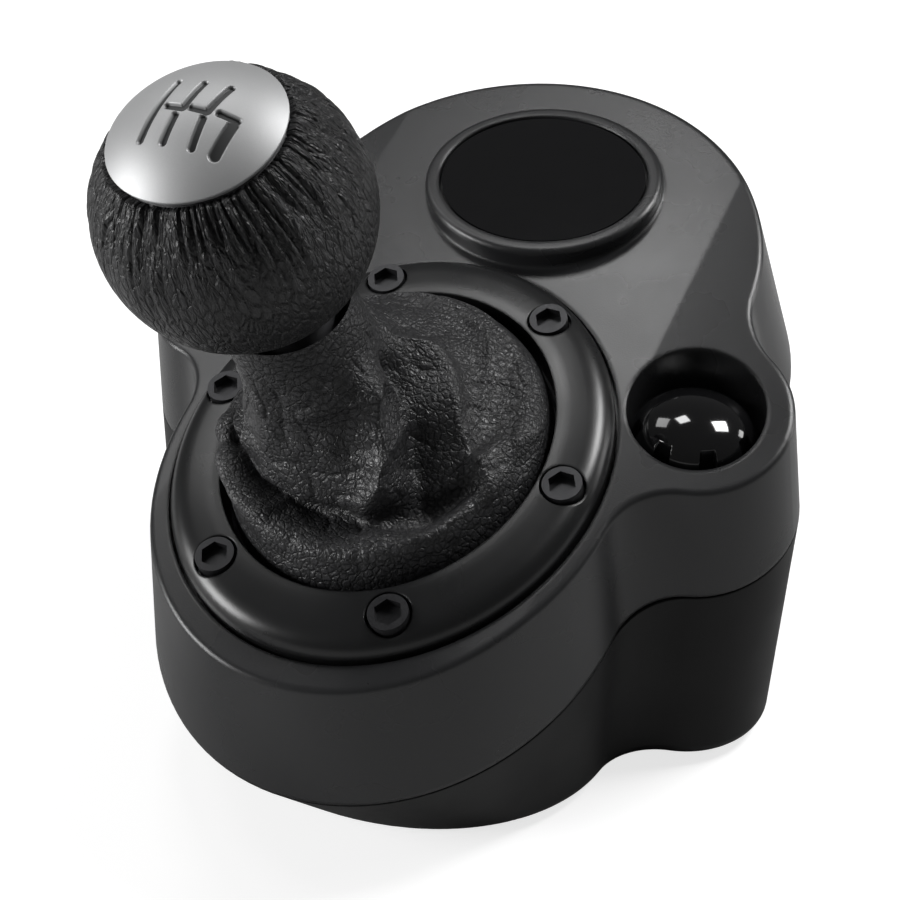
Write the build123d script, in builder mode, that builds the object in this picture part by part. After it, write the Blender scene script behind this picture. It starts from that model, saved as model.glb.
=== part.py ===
from build123d import *
import os
from math import asin, cos, pi, radians, sin, tan

# Sim racing gear shifter: a desk-clamped base with a sloping deck, a leather boot and a ball knob.
# Origin: bottom centre of the whole part. +X is the driver's right, +Y points away from the driver.

# Driving sizes of the base: a front lobe under the boot, an ear round each clamp well and a rear lobe
slope_angle = 21.0
side_shoulder = 2.9
front_shoulder = 5.2
front_spread = 2.5
chin_rake = 14.0
chin_spread = 2.5
ear_wall = 4.9
ear_spread = 0.8
ear_shift_side = 2.4
ear_shift_back = 2.8
ear_foot_shift = 1.7
rear_half_width = 52.0
rear_half_length = 47.0
rear_back = 52.0
rear_spread = 9.0
rear_lean = 4.0
rear_flare = 10.5
rear_foot_spread = 5.0
front_blend = 14.0
rear_blend = 14.0
wall = 2.5
roof = 2.8
foot_height = 1.5
ring_height = 65.3
parting_drop = 26.0
parting_gap = 0.4
edge_round = 1.0
lip_thickness = 1.6
lip_height = 2.5
bottom_round = 3.0
overrun = 5.0
fit_gap = 0.3
snug_gap = 0.02
running_gap = 0.05

# Wings: the deck falls away outside a crease on each side
crease_half_width = 39.5
crease_arc_radius = 46.0
crease_arc_back = 63.0
wing_angle = 6.0
wing_reach = 60.0

# Bezel ring round the boot, an oval lying on the slope
ring_half_width = 42.4
ring_half_length = 47.6
ring_hole_half_width = 31.9
ring_hole_half_length = 35.9
ring_rim_height = 0.8
ring_crown_height = 5.2
ring_width_shares = (1.0, 0.96, 0.87, 0.68, 0.39, 0.12)
ring_rise_shares = (0.0, 0.27, 0.55, 0.80, 0.93, 1.0)
ring_depth = 3.0
ring_gap = 0.7
ring_seat_thickness = 3.2
ring_seat_lap = 1.1
screw_ring_half_width = 36.6
screw_ring_half_length = 41.2
bezel_screw_count = 6
bezel_head_radius = 3.75
bezel_head_height = 4.0
bezel_seat_height = 1.4
bezel_bore_radius = 4.3
bezel_hex_radius = 2.75
bezel_hex_depth = 1.8
bezel_shank_radius = 1.5
bezel_shank_length = 7.4

# Badge boss and its bare gloss disc
badge_back = 68.5
badge_half_width = 22.3
badge_half_length = 19.2
badge_tilt = 4.0
boss_rim = 3.6
boss_height = 3.0
boss_round = 1.0
badge_depth = 1.6
badge_groove = 0.6
badge_sink = 0.3

# Lever and its gimbal
pivot_back = 10.3
frame_floor_gap = 0.46
lean_left = 7.8
ball_distance = 102.9
ball_radius = 24.0
leather_thickness = 1.5
cap_half_angle = 40.0
cap_tilt_side = 5.7
cap_tilt_front = 3.4
rod_radius = 5.0
rod_top = 88.0
finger_radius = 0.8
finger_gap = 0.2
finger_root = 15.0
finger_neck_radius = 3.0
sleeve_radius = 7.2
sleeve_bottom = 40.0
sleeve_top = 94.0
knob_neck_radius = 8.2
knob_neck_drop = 5.0
nut_radius = 8.5
nut_height = 6.0
push_travel = 5.0
cradle_width = 22.0
cradle_length = 18.0
cradle_height = 22.0
yoke_width = 42.0
yoke_bar_side = 5.0
yoke_bar_end = 6.0
yoke_height = 10.0
pin_radius = 2.5
frame_width = 40.0
frame_upright = 4.0
frame_upright_width = 24.0
frame_head = 6.0
frame_floor_depth = 18.4
frame_floor_thickness = 3.0
frame_length = 45.0
frame_window = 20.0
frame_post_side = 16.0
frame_post_end = 19.5
frame_post_radius = 3.5
gate_size = 26.0
gate_thickness = 2.0
gate_clearance = 0.25
shift_swing = 11.0
sensor_radius = 8.0
sensor_depth = 5.0
small_screw_radius = 1.4
small_head_radius = 2.6
small_head_height = 2.0
small_screw_length = 6.0
small_screw_play = 0.2

# Springs
spring_wire = 1.2
spring_pitch = 3.6
spring_clearance = 0.7
side_spring_radius = 3.0
side_spring_wall = 0.8
side_spring_place = 16.5

# Boot
boot_thickness = 1.4
boot_neck_radius = 10.0
boot_shoulder_radius = 17.5
boot_bulge_height = 9.0
boot_shoulder_height = 20.0
boot_top_height = 34.1
boot_neck_length = 6.0
tie_lift = 2.0
tie_height = 3.0
tie_thickness = 1.2
retainer_width = 3.4
retainer_depth = 2.6

# Clamps
well_radius = 13.3
well_angle = 27.7
well_spacing = 1.35
well_wall = 2.0
well_floor_height = 61.0
well_floor = 2.2
knob_radius = 12.0
knob_side_height = 6.4
knob_crown = 7.6
knob_notch_count = 8
knob_notch_radius = 1.6
knob_notch_height = 7.0
knob_lift = 1.0
knob_edge_round = 1.2
knob_socket_depth = 5.0
clamp_screw_radius = 4.0
clamp_screw_bottom = 6.0
clip_radius = 7.0
clip_thickness = 1.2
column_size = 15.0
column_round = 2.0
column_top = 54.0
nut_zone = 12.0
bore_relief = 1.0
guide_wall = 2.0
guide_height = 22.0
jaw_inset = 15.5
jaw_back = 27.0
jaw_tip_radius = 8.0
jaw_thickness = 5.0
jaw_rise = 1.0
pad_thickness = 1.4
pocket_gap = 0.5
pad_inset = 1.0

# Small parts inside
floor_thickness = 2.5
case_post_radius = 4.5
case_screw_radius = 1.5
case_head_radius = 3.0
case_head_depth = 3.0
case_hex_radius = 1.75
case_screw_engage = 9.0
case_post_side = 31.0
front_post_back = -20.0
rear_post_back = 76.0
foot_radius = 8.0
foot_side = 18.0
foot_front_back = -18.0
foot_rear_back = 90.0
board_width = 44.0
board_length = 32.0
board_thickness = 1.6
board_height = 13.0
board_back = 74.0
board_hole_inset = 4.0
board_post_radius = 3.2
chip_height = 1.4
chip_size = 9.0
plug_length = 12.0
plug_width = 5.0
plug_height = 4.0
gland_radius = 5.0
gland_flange_radius = 7.5
gland_bore = 2.4
gland_height = 16.0
gland_length = 5.0
mount_hole_radius = 2.5
insert_radius = 4.5
insert_height = 8.0
mount_front_back = 44.0
mount_spacing = 45.0

# Places worked out from the sizes above
rise = tan(radians(slope_angle))
level_share = cos(radians(slope_angle))
ring_reach = ring_half_length * level_share
front_half_width = ring_half_width + ring_gap + side_shoulder
front_half_length = ring_reach + ring_gap + front_shoulder
body_length = front_half_length + rear_back + rear_half_length + rear_flare
ring_back = front_half_length - body_length / 2
well_line = Vector(cos(radians(well_angle)), sin(radians(well_angle)))
well_reach = 1 / ((well_line.X / ring_half_width) ** 2 + (well_line.Y / ring_reach) ** 2) ** 0.5
well_reach = well_reach + ring_gap + well_spacing + well_radius
ear_side = well_reach * well_line.X
ear_back = well_reach * well_line.Y
ear_radius = well_radius + ear_wall
ear_y = ring_back + ear_back
body_width = 2 * (ear_side + ear_radius + ear_shift_side + ear_spread)
finger_reach = frame_floor_depth + gate_thickness - finger_gap
yoke_length = frame_length - 2 * frame_upright - 2 * pocket_gap
pivot_height = foot_height + floor_thickness + frame_floor_gap + frame_floor_depth * level_share
pivot_height = pivot_height + frame_length / 2 * sin(radians(slope_angle))
deck_normal = Vector(0, -sin(radians(slope_angle)), cos(radians(slope_angle)))
deck = Plane(origin=(0, ring_back, ring_height), x_dir=(1, 0, 0), z_dir=deck_normal)
pivot = Vector(0, ring_back + pivot_back, pivot_height)
gimbal = Plane(origin=pivot, x_dir=(1, 0, 0), z_dir=deck_normal)
lever_along = deck_normal * cos(radians(lean_left)) - Vector(1, 0, 0) * sin(radians(lean_left))
lever_across = Vector(1, 0, 0) * cos(radians(lean_left)) + deck_normal * sin(radians(lean_left))
lever = Plane(origin=pivot, x_dir=lever_across, z_dir=lever_along)
crown_axis = lever_along + lever.x_dir * tan(radians(cap_tilt_side)) - lever.y_dir * tan(radians(cap_tilt_front))
crown = Plane(origin=pivot + lever_along * ball_distance, x_dir=lever_across, z_dir=crown_axis)
body_top = ring_height + (body_length / 2 - ring_back) * rise + overrun
floor_top = foot_height + floor_thickness
deck_gap = (Vector(*deck.origin) - pivot).dot(deck_normal)


def deck_height(y):
    return ring_height + (y - ring_back) * rise


def oval(centre, half_width, half_length):
    """A whole ellipse as two half arcs that start on its right-hand side."""
    with BuildSketch(mode=Mode.PRIVATE) as face:
        with BuildLine():
            EllipticalCenterArc(centre, half_width, half_length, 0, arc_size=180)
            EllipticalCenterArc(centre, half_width, half_length, 180, arc_size=180)
        make_face()
    return face.sketch


def level_plane(drop):
    """The sloping plane that lies drop under the deck, its origin straight under the ring's centre."""
    return Plane(origin=(0, ring_back, ring_height - drop / level_share), x_dir=(1, 0, 0), z_dir=deck_normal)


def lobes(inset):
    """Each lobe's plan: centre and half sizes at the floor, at the parting line and at the deck."""
    front = (
        (0, 0, front_half_width + chin_spread, front_half_length - chin_rake),
        (0, 0, front_half_width + front_spread, front_half_length),
        (0, 0, front_half_width, front_half_length),
    )
    rear = (
        (0, rear_back + rear_flare / 2, rear_half_width + rear_foot_spread, rear_half_length + rear_flare / 2),
        (0, rear_back + rear_lean / 2, rear_half_width + rear_spread, rear_half_length + rear_lean / 2),
        (0, rear_back, rear_half_width, rear_half_length),
    )
    ears = [
        (
            (side * (ear_side + ear_foot_shift), ear_back, ear_radius + ear_spread, ear_radius + ear_spread),
            (side * (ear_side + ear_shift_side), ear_back + ear_shift_back, ear_radius + ear_spread,
             ear_radius + ear_spread),
            (side * ear_side, ear_back, ear_radius, ear_radius),
        )
        for side in (-1, 1)
    ]
    return [[(x, y, a - inset, b - inset) for x, y, a, b in lobe] for lobe in (front, rear, *ears)]


def tier(inset, upper):
    """The base's outline above or below the parting line: four slanting cones, blended on the outside skin."""
    with BuildPart() as form:
        with BuildSketch(Plane.XY.offset(foot_height)):
            with Locations((0, ear_y)):
                Rectangle(2 * ear_side, ear_radius - inset)
        extrude(amount=body_top)
        split(bisect_by=level_plane(parting_drop), keep=Keep.TOP if upper else Keep.BOTTOM)
        split(bisect_by=level_plane(-overrun), keep=Keep.BOTTOM)
        for foot, middle, top in lobes(inset):
            if upper:
                beyond = overrun / parting_drop
                x, y, a, b = [high + (high - low) * beyond for low, high in zip(middle, top)]
                with BuildSketch(level_plane(-overrun)):
                    add(oval((x, y / level_share), a, b / level_share))
            else:
                x, y, a, b = foot
                with BuildSketch(Plane(origin=(0, ring_back, foot_height))):
                    add(oval((x, y), a, b))
            x, y, a, b = middle
            with BuildSketch(level_plane(parting_drop)):
                add(oval((x, y / level_share), a, b / level_share))
            loft()
        if not inset:
            corners = form.edges().filter_by(GeomType.LINE, reverse=True)
            corners = corners.filter_by(lambda e: abs(e.tangent_at(0.5).Z) > level_share)
            fillet([e for e in corners if e.center().Y < ear_y], front_blend)
            fillet([e for e in corners if e.center().Y > ear_y], rear_blend)
    return form.part


def body_form(inset):
    """The closed outline of the base as one block, drawn in by inset."""
    with BuildPart() as form:
        add(tier(inset, False))
        add(tier(inset, True))
    return form.part


def under_deck(inset, depth):
    """The base's outline drawn in by inset, under the deck and its two drooping wings lowered by depth."""
    with BuildPart() as lump:
        add(body_form(inset))
        split(bisect_by=deck.offset(-depth), keep=Keep.BOTTOM)
        for side in (-1, 1):
            slant = Vector(side * cos(radians(wing_angle)), 0, -sin(radians(wing_angle)))
            start = deck.origin - deck_normal * depth - slant * overrun
            with BuildSketch(Plane(origin=start, x_dir=(1, 0, 0), z_dir=deck_normal)) as outside:
                with Locations((side * body_width / 2, 0)):
                    Rectangle(body_width, 3 * body_length)
                with Locations((0, crease_arc_back - body_length)):
                    Rectangle(2 * crease_half_width, 2 * body_length, mode=Mode.SUBTRACT)
                with BuildSketch(mode=Mode.SUBTRACT):
                    with Locations((0, crease_arc_back)):
                        Circle(crease_arc_radius)
                        Rectangle(2 * crease_half_width, 3 * crease_arc_radius, mode=Mode.INTERSECT)
            extrude(amount=overrun + wing_reach, dir=slant, mode=Mode.SUBTRACT)
    return lump.part


def posts(places, radius, bottom, plane):
    """Round upright posts from a level bottom up to a sloping plane."""
    with BuildPart() as group:
        with BuildSketch(Plane.XY.offset(bottom)):
            with Locations(*places):
                Circle(radius)
        extrude(amount=body_top)
        split(bisect_by=plane, keep=Keep.BOTTOM)
    return group.part


def around(plane, items):
    """Places on a plane, as locations that carry the plane's tilt."""
    return [plane * Location((x, y, 0)) for x, y in items]


def dome_middle(x):
    """A point half way along the clamp knob's crown arc."""
    arc_radius = (knob_radius ** 2 + knob_crown ** 2) / (2 * knob_crown)
    centre = well_floor_height + knob_lift + knob_side_height + knob_crown - arc_radius
    half = asin(knob_radius / arc_radius) / 2
    return (x + arc_radius * sin(half), centre + arc_radius * cos(half))


def arm_outline(side, grow):
    """Plan outline of a clamp jaw: the square column joined to a round tip further in and back."""
    with BuildSketch() as outline:
        with Locations((side * ear_side, ear_y)):
            Rectangle(column_size + 2 * grow, column_size + 2 * grow)
        with Locations((side * (ear_side - jaw_inset), ear_y + jaw_back)):
            Circle(jaw_tip_radius + grow)
        make_hull()
    return outline.sketch


os.makedirs("parts", exist_ok=True)
sides = ((-1, "left"), (1, "right"))
part_top = deck.offset(-parting_drop + parting_gap / 2)
part_bottom = deck.offset(-parting_drop - parting_gap / 2)
core = under_deck(wall, roof)
middle_form = under_deck(wall / 2, roof / 2)
post_places = [
    (side * case_post_side, ring_back + back) for side in (-1, 1) for back in (front_post_back, rear_post_back)
]
screw_places = [
    (screw_ring_half_width * cos(2 * pi * n / bezel_screw_count),
     screw_ring_half_length * sin(2 * pi * n / bezel_screw_count))
    for n in range(bezel_screw_count)
]
frame_screw_places = [
    (x, y) for x in (-frame_post_side, frame_post_side) for y in (-frame_post_end, frame_post_end)
]
frame_feet = [gimbal.from_local_coords((x, y, -frame_floor_depth)) for x, y in frame_screw_places]
frame_posts = [(p.X, p.Y) for p in frame_feet]
board_y = ring_back + board_back
board_posts = [
    (x * (board_width / 2 - board_hole_inset), board_y + y * (board_length / 2 - board_hole_inset))
    for x in (-1, 1) for y in (-1, 1)
]
mount_places = [(0, ring_back + mount_front_back), (0, ring_back + mount_front_back + mount_spacing)]
feet_places = [
    (side * foot_side, ring_back + back) for side in (-1, 1) for back in (foot_front_back, foot_rear_back)
]
gate_pitch = (frame_floor_depth + gate_thickness / 2) * tan(radians(lean_left))
gate_throw = finger_reach * sin(radians(shift_swing))
gate_slot = 2 * (finger_radius + gate_clearance)
collar_height = wall
spring_bottom = cradle_height / 2 + collar_height + spring_wire / 2 + 2 * running_gap
spring_length = sleeve_bottom - spring_bottom - spring_wire / 2 - 2 * running_gap
spring_radius = rod_radius + spring_clearance + spring_wire / 2
cap_base = ball_radius * cos(radians(cap_half_angle))
gland_back = body_length / 2
badge_origin = Vector(0, ring_back + badge_back, deck_height(ring_back + badge_back))
badge = Plane(origin=badge_origin, x_dir=(1, 0, 0), z_dir=deck_normal).rotated((-badge_tilt, 0, 0))

# Top cover, with the clamp wells, the bezel seat and the badge boss moulded in
with BuildPart() as cover_inside:
    with BuildSketch(deck.offset(-ring_depth - ring_seat_thickness)):
        Ellipse(ring_half_width + ring_gap + wall, ring_half_length + ring_gap + wall)
    extrude(amount=ring_depth + ring_seat_thickness)
    with BuildSketch(Plane.XY.offset(well_floor_height - well_floor)):
        with Locations((-ear_side, ear_y), (ear_side, ear_y)):
            Circle(well_radius + well_wall)
    extrude(amount=body_top)
    add(posts(post_places, case_post_radius, foot_height, deck))
    add(middle_form, mode=Mode.INTERSECT)

with BuildPart() as badge_boss:
    with BuildSketch(badge.offset(-roof)):
        Ellipse(badge_half_width + boss_rim, badge_half_length + boss_rim)
    extrude(amount=roof + boss_height)
    fillet(badge_boss.faces().sort_by(Axis.Z)[-1].edges(), boss_round)

with BuildPart() as top_cover:
    add(under_deck(0, 0))
    upper_faces = [f for f in top_cover.faces() if deck.to_local_coords(f.center()).Z > -parting_drop / 2]
    decks = [f for f in upper_faces if f.normal_at().dot(deck_normal) > cos(radians(2 * wing_angle))]
    lines = [e for f in decks for e in f.edges()]
    rim = [e for e in lines if sum(1 for other in lines if other.is_same(e)) == 1]
    fillet(rim, edge_round)
    add(core, mode=Mode.SUBTRACT)
    add(cover_inside.part)
    add(badge_boss.part)
    with BuildSketch(badge.offset(boss_height)):
        Ellipse(badge_half_width + badge_groove, badge_half_length + badge_groove)
    extrude(amount=-badge_depth, mode=Mode.SUBTRACT)
    with BuildSketch(deck.offset(overrun)):
        Ellipse(ring_half_width + ring_gap, ring_half_length + ring_gap)
    extrude(amount=-overrun - ring_depth, mode=Mode.SUBTRACT)
    with BuildSketch(deck.offset(overrun)):
        Ellipse(ring_hole_half_width + ring_seat_lap, ring_hole_half_length + ring_seat_lap)
    extrude(amount=-2 * parting_drop, mode=Mode.SUBTRACT)
    with BuildSketch(Plane.XY.offset(well_floor_height)):
        with Locations((-ear_side, ear_y), (ear_side, ear_y)):
            Circle(well_radius)
    extrude(amount=body_top, mode=Mode.SUBTRACT)
    with BuildSketch(Plane.XY.offset(well_floor_height - well_floor - overrun)):
        with Locations((-ear_side, ear_y), (ear_side, ear_y)):
            Circle(clamp_screw_radius + running_gap)
    extrude(amount=well_floor + 2 * overrun, mode=Mode.SUBTRACT)
    split(bisect_by=part_top, keep=Keep.TOP)
    add(posts(post_places, case_screw_radius + snug_gap, foot_height, part_top.offset(case_screw_engage)),
        mode=Mode.SUBTRACT)
    with Locations(*around(deck.offset(-ring_depth), screw_places)):
        Hole(bezel_shank_radius + snug_gap, depth=ring_seat_thickness + overrun)
top_cover.part.label = "top_cover"
export_step(top_cover.part, "parts/top_cover.step")

# Lower housing: floor, posts, clamp guides with their pockets, and a lip inside the parting line
with BuildPart() as housing_outer:
    add(under_deck(0, 0))
    fillet(housing_outer.faces().sort_by(Axis.Z)[0].edges(), bottom_round)

with BuildPart() as housing_hollow:
    add(body_form(wall + fit_gap))
    split(bisect_by=Plane.XY.offset(floor_top), keep=Keep.TOP)

with BuildPart() as housing_inside:
    add(posts(post_places, case_post_radius, foot_height, part_bottom))
    for side in (-1, 1):
        with BuildSketch(Plane.XY.offset(foot_height)):
            add(arm_outline(side, pocket_gap + guide_wall))
        extrude(amount=jaw_rise + jaw_thickness + pad_thickness + fit_gap + floor_thickness)
        with BuildSketch(Plane.XY.offset(foot_height)):
            with Locations((side * ear_side, ear_y)):
                Rectangle(column_size + 2 * (fit_gap + guide_wall), column_size + 2 * (fit_gap + guide_wall))
        extrude(amount=guide_height)
    add(posts(frame_posts, frame_post_radius, foot_height, gimbal.offset(-frame_floor_depth)))
    add(posts(board_posts, board_post_radius, foot_height, Plane.XY.offset(board_height)))
    with BuildSketch(Plane.XY.offset(foot_height)):
        with Locations(*mount_places):
            Circle(insert_radius + guide_wall)
    extrude(amount=insert_height + floor_thickness)
    add(housing_outer.part, mode=Mode.INTERSECT)

with BuildPart() as lip:
    add(body_form(wall + fit_gap / 2))
    add(body_form(wall + lip_thickness), mode=Mode.SUBTRACT)
    split(bisect_by=part_bottom.offset(lip_height), keep=Keep.BOTTOM)
    split(bisect_by=part_bottom.offset(-2 * lip_height), keep=Keep.TOP)

with BuildPart() as lower_housing:
    add(housing_outer.part)
    add(housing_hollow.part, mode=Mode.SUBTRACT)
    split(bisect_by=part_bottom, keep=Keep.BOTTOM)
    add(housing_inside.part)
    add(lip.part)
    for side in (-1, 1):
        with BuildSketch(Plane.XY.offset(foot_height - overrun)):
            add(arm_outline(side, pocket_gap))
        extrude(amount=overrun + jaw_rise + jaw_thickness + pad_thickness + fit_gap, mode=Mode.SUBTRACT)
        with BuildSketch(Plane.XY.offset(foot_height - overrun)):
            with Locations((side * ear_side, ear_y)):
                Rectangle(column_size + 2 * fit_gap, column_size + 2 * fit_gap)
        extrude(amount=overrun + body_top, mode=Mode.SUBTRACT)
    with BuildSketch(Plane.XY.offset(foot_height - overrun)):
        with Locations(*post_places):
            Circle(case_screw_radius + running_gap)
    extrude(amount=overrun + body_top, mode=Mode.SUBTRACT)
    with BuildSketch(Plane.XY.offset(foot_height - overrun)):
        with Locations(*post_places):
            Circle(case_head_radius + fit_gap)
    extrude(amount=overrun + case_head_depth, mode=Mode.SUBTRACT)
    with BuildSketch(Plane.XY.offset(foot_height - overrun)):
        with Locations(*mount_places):
            Circle(insert_radius + snug_gap)
    extrude(amount=overrun + insert_height, mode=Mode.SUBTRACT)
    with BuildSketch(Plane.XZ.offset(-body_length / 2 - overrun)):
        with Locations((0, gland_height)):
            Circle(gland_radius + snug_gap)
    extrude(amount=rear_flare + 2 * overrun, mode=Mode.SUBTRACT)
    with Locations(*around(gimbal.offset(-frame_floor_depth), frame_screw_places)):
        Hole(small_screw_radius + snug_gap, depth=small_screw_length - frame_floor_thickness + small_screw_play)
    with Locations(*[(x, y, board_height) for x, y in board_posts]):
        Hole(small_screw_radius + snug_gap, depth=small_screw_length - board_thickness + small_screw_play)
lower_housing.part.label = "lower_housing"
export_step(lower_housing.part, "parts/lower_housing.step")

# Rubber feet on the underside
with BuildPart() as rubber_feet:
    with BuildSketch(Plane.XY):
        with Locations(*feet_places):
            Circle(foot_radius)
    extrude(amount=foot_height)
rubber_feet.part.label = "rubber_feet"
export_step(rubber_feet.part, "parts/rubber_feet.step")

# Long screws that close the base from below
with BuildPart() as case_screws:
    add(posts(post_places, case_screw_radius, foot_height + case_head_depth,
              part_top.offset(case_screw_engage - fit_gap)))
    with BuildSketch(Plane.XY.offset(foot_height + fit_gap)):
        with Locations(*post_places):
            Circle(case_head_radius)
    extrude(amount=case_head_depth - fit_gap)
    with BuildSketch(Plane.XY.offset(foot_height + fit_gap)):
        with Locations(*post_places):
            RegularPolygon(case_hex_radius, 6)
    extrude(amount=bezel_hex_depth, mode=Mode.SUBTRACT)
case_screws.part.label = "case_screws"
export_step(case_screws.part, "parts/case_screws.step")

# Threaded inserts in the underside, for bolting the base to a rig
with BuildPart() as rig_inserts:
    with BuildSketch(Plane.XY.offset(foot_height)):
        with Locations(*mount_places):
            Circle(insert_radius)
            Circle(mount_hole_radius, mode=Mode.SUBTRACT)
    extrude(amount=insert_height)
rig_inserts.part.label = "rig_inserts"
export_step(rig_inserts.part, "parts/rig_inserts.step")

# Bezel ring: an oval whose section rolls up from its rim to its inner edge
with BuildPart() as bezel_ring:
    with BuildSketch(deck.offset(-ring_depth)):
        Ellipse(ring_half_width, ring_half_length)
    extrude(amount=ring_depth + ring_rim_height)
    for width_share, rise_share in zip(ring_width_shares, ring_rise_shares):
        with BuildSketch(deck.offset(ring_rim_height + rise_share * (ring_crown_height - ring_rim_height))):
            Ellipse(ring_hole_half_width + width_share * (ring_half_width - ring_hole_half_width),
                    ring_hole_half_length + width_share * (ring_half_length - ring_hole_half_length))
    loft()
    with BuildSketch(deck.offset(-ring_depth)):
        Ellipse(ring_hole_half_width, ring_hole_half_length)
    extrude(amount=ring_depth + ring_crown_height + overrun, mode=Mode.SUBTRACT)
    with Locations(*around(deck.offset(ring_crown_height), screw_places)):
        CounterBoreHole(bezel_shank_radius + running_gap, bezel_bore_radius,
                        ring_crown_height - bezel_seat_height, depth=ring_crown_height + 2 * ring_depth)
bezel_ring.part.label = "bezel_ring"
export_step(bezel_ring.part, "parts/bezel_ring.step")

# Socket-head screws that hold the bezel ring
with BuildPart() as bezel_screws:
    for spot in around(deck.offset(bezel_seat_height), screw_places):
        with BuildSketch(Plane(spot)):
            Circle(bezel_head_radius)
        extrude(amount=bezel_head_height)
        with BuildSketch(Plane(spot)):
            Circle(bezel_shank_radius)
        extrude(amount=-bezel_shank_length)
        with BuildSketch(Plane(spot).offset(bezel_head_height)):
            RegularPolygon(bezel_hex_radius, 6)
        extrude(amount=-bezel_hex_depth, mode=Mode.SUBTRACT)
bezel_screws.part.label = "bezel_screws"
export_step(bezel_screws.part, "parts/bezel_screws.step")

# Bare gloss disc in the badge boss
with BuildPart() as badge_disc:
    with BuildSketch(badge.offset(boss_height - badge_depth)):
        Ellipse(badge_half_width, badge_half_length)
    extrude(amount=badge_depth - badge_sink)
badge_disc.part.label = "badge_disc"
export_step(badge_disc.part, "parts/badge_disc.step")

# Retainer that the boot's hem is folded over
with BuildPart() as boot_retainer:
    with BuildSketch(deck.offset(-ring_depth - retainer_depth)):
        Ellipse(ring_hole_half_width + ring_seat_lap - fit_gap, ring_hole_half_length + ring_seat_lap - fit_gap)
        Ellipse(ring_hole_half_width - retainer_width, ring_hole_half_length - retainer_width, mode=Mode.SUBTRACT)
    extrude(amount=retainer_depth - fit_gap)
boot_retainer.part.label = "boot_retainer"
export_step(boot_retainer.part, "parts/boot_retainer.step")


def boot_form(inset, extra):
    """The gaiter's closed outline, drawn in by inset and run past both ends by extra."""
    with BuildPart() as form:
        with BuildSketch(deck.offset(-ring_depth - extra)):
            Ellipse(ring_hole_half_width - fit_gap - inset, ring_hole_half_length - fit_gap - inset)
        extrude(amount=ring_depth + extra + ring_crown_height + fit_gap)
        with BuildSketch(deck.offset(ring_crown_height + fit_gap)):
            Ellipse(ring_hole_half_width - fit_gap - inset, ring_hole_half_length - fit_gap - inset)
        with BuildSketch(deck.offset(boot_bulge_height)):
            with Locations((-boot_bulge_height * tan(radians(lean_left)), 0)):
                Ellipse(ring_hole_half_width - 2 * fit_gap - inset, ring_hole_half_length - ring_seat_lap - inset)
        with BuildSketch(lever.offset(deck_gap + boot_shoulder_height)):
            Circle(boot_shoulder_radius - inset)
        with BuildSketch(lever.offset(deck_gap + boot_top_height)):
            Circle(boot_neck_radius - inset)
        loft()
        with BuildSketch(lever.offset(deck_gap + boot_top_height)):
            Circle(boot_neck_radius - inset)
        extrude(amount=boot_neck_length + extra)
    return form.part


# Leather boot from the bezel ring up to the knob
with BuildPart() as boot:
    add(boot_form(0, 0))
    add(boot_form(boot_thickness, boot_thickness), mode=Mode.SUBTRACT)
boot.part.label = "boot"
export_step(boot.part, "parts/boot.step")

# Gimbal frame: two uprights on a windowed floor, lying square to the deck
with BuildPart() as gimbal_frame:
    with BuildSketch(gimbal.offset(-frame_floor_depth)):
        Rectangle(frame_width, frame_length)
        Rectangle(frame_window, frame_window, mode=Mode.SUBTRACT)
    extrude(amount=frame_floor_thickness)
    with BuildSketch(gimbal.offset(-frame_floor_depth)):
        for end in (-1, 1):
            with Locations((0, end * (frame_length - frame_upright) / 2)):
                Rectangle(frame_upright_width, frame_upright)
    extrude(amount=frame_floor_depth + frame_head)
    with Locations(gimbal * Location((0, 0, 0), (90, 0, 0))):
        Hole(pin_radius + snug_gap)
    with Locations(*around(gimbal.offset(-frame_floor_depth + frame_floor_thickness), frame_screw_places)):
        Hole(small_screw_radius + running_gap, depth=2 * frame_floor_thickness)
gimbal_frame.part.label = "gimbal_frame"
export_step(gimbal_frame.part, "parts/gimbal_frame.step")

# Springs that push the yoke back to the middle gate
with BuildPart() as side_springs:
    with BuildSketch(gimbal.offset(-frame_floor_depth + frame_floor_thickness)):
        with Locations((-side_spring_place, 0), (side_spring_place, 0)):
            Circle(side_spring_radius)
            Circle(side_spring_radius - side_spring_wall, mode=Mode.SUBTRACT)
    extrude(amount=frame_floor_depth)
    split(bisect_by=lever.offset(-yoke_height / 2 - fit_gap), keep=Keep.BOTTOM)
side_springs.part.label = "side_springs"
export_step(side_springs.part, "parts/side_springs.step")

# Screws that hold the gimbal frame to the housing posts
with BuildPart() as frame_screws:
    for spot in around(gimbal.offset(-frame_floor_depth + frame_floor_thickness), frame_screw_places):
        with BuildSketch(Plane(spot)):
            Circle(small_head_radius)
        extrude(amount=small_head_height)
        with BuildSketch(Plane(spot)):
            Circle(small_screw_radius)
        extrude(amount=-small_screw_length)
frame_screws.part.label = "frame_screws"
export_step(frame_screws.part, "parts/frame_screws.step")

# Gate plate: three slots joined by a crossbar, for the finger at the lever's lower end
with BuildPart() as gate_plate:
    with BuildSketch(gimbal.offset(-frame_floor_depth - gate_thickness)):
        Rectangle(gate_size, gate_size)
        Rectangle(2 * gate_pitch + gate_slot, gate_slot, mode=Mode.SUBTRACT)
        with Locations((-gate_pitch, 0), (0, 0), (gate_pitch, 0)):
            Rectangle(gate_slot, 2 * gate_throw + gate_slot, mode=Mode.SUBTRACT)
    extrude(amount=gate_thickness)
gate_plate.part.label = "gate_plate"
export_step(gate_plate.part, "parts/gate_plate.step")

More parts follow.
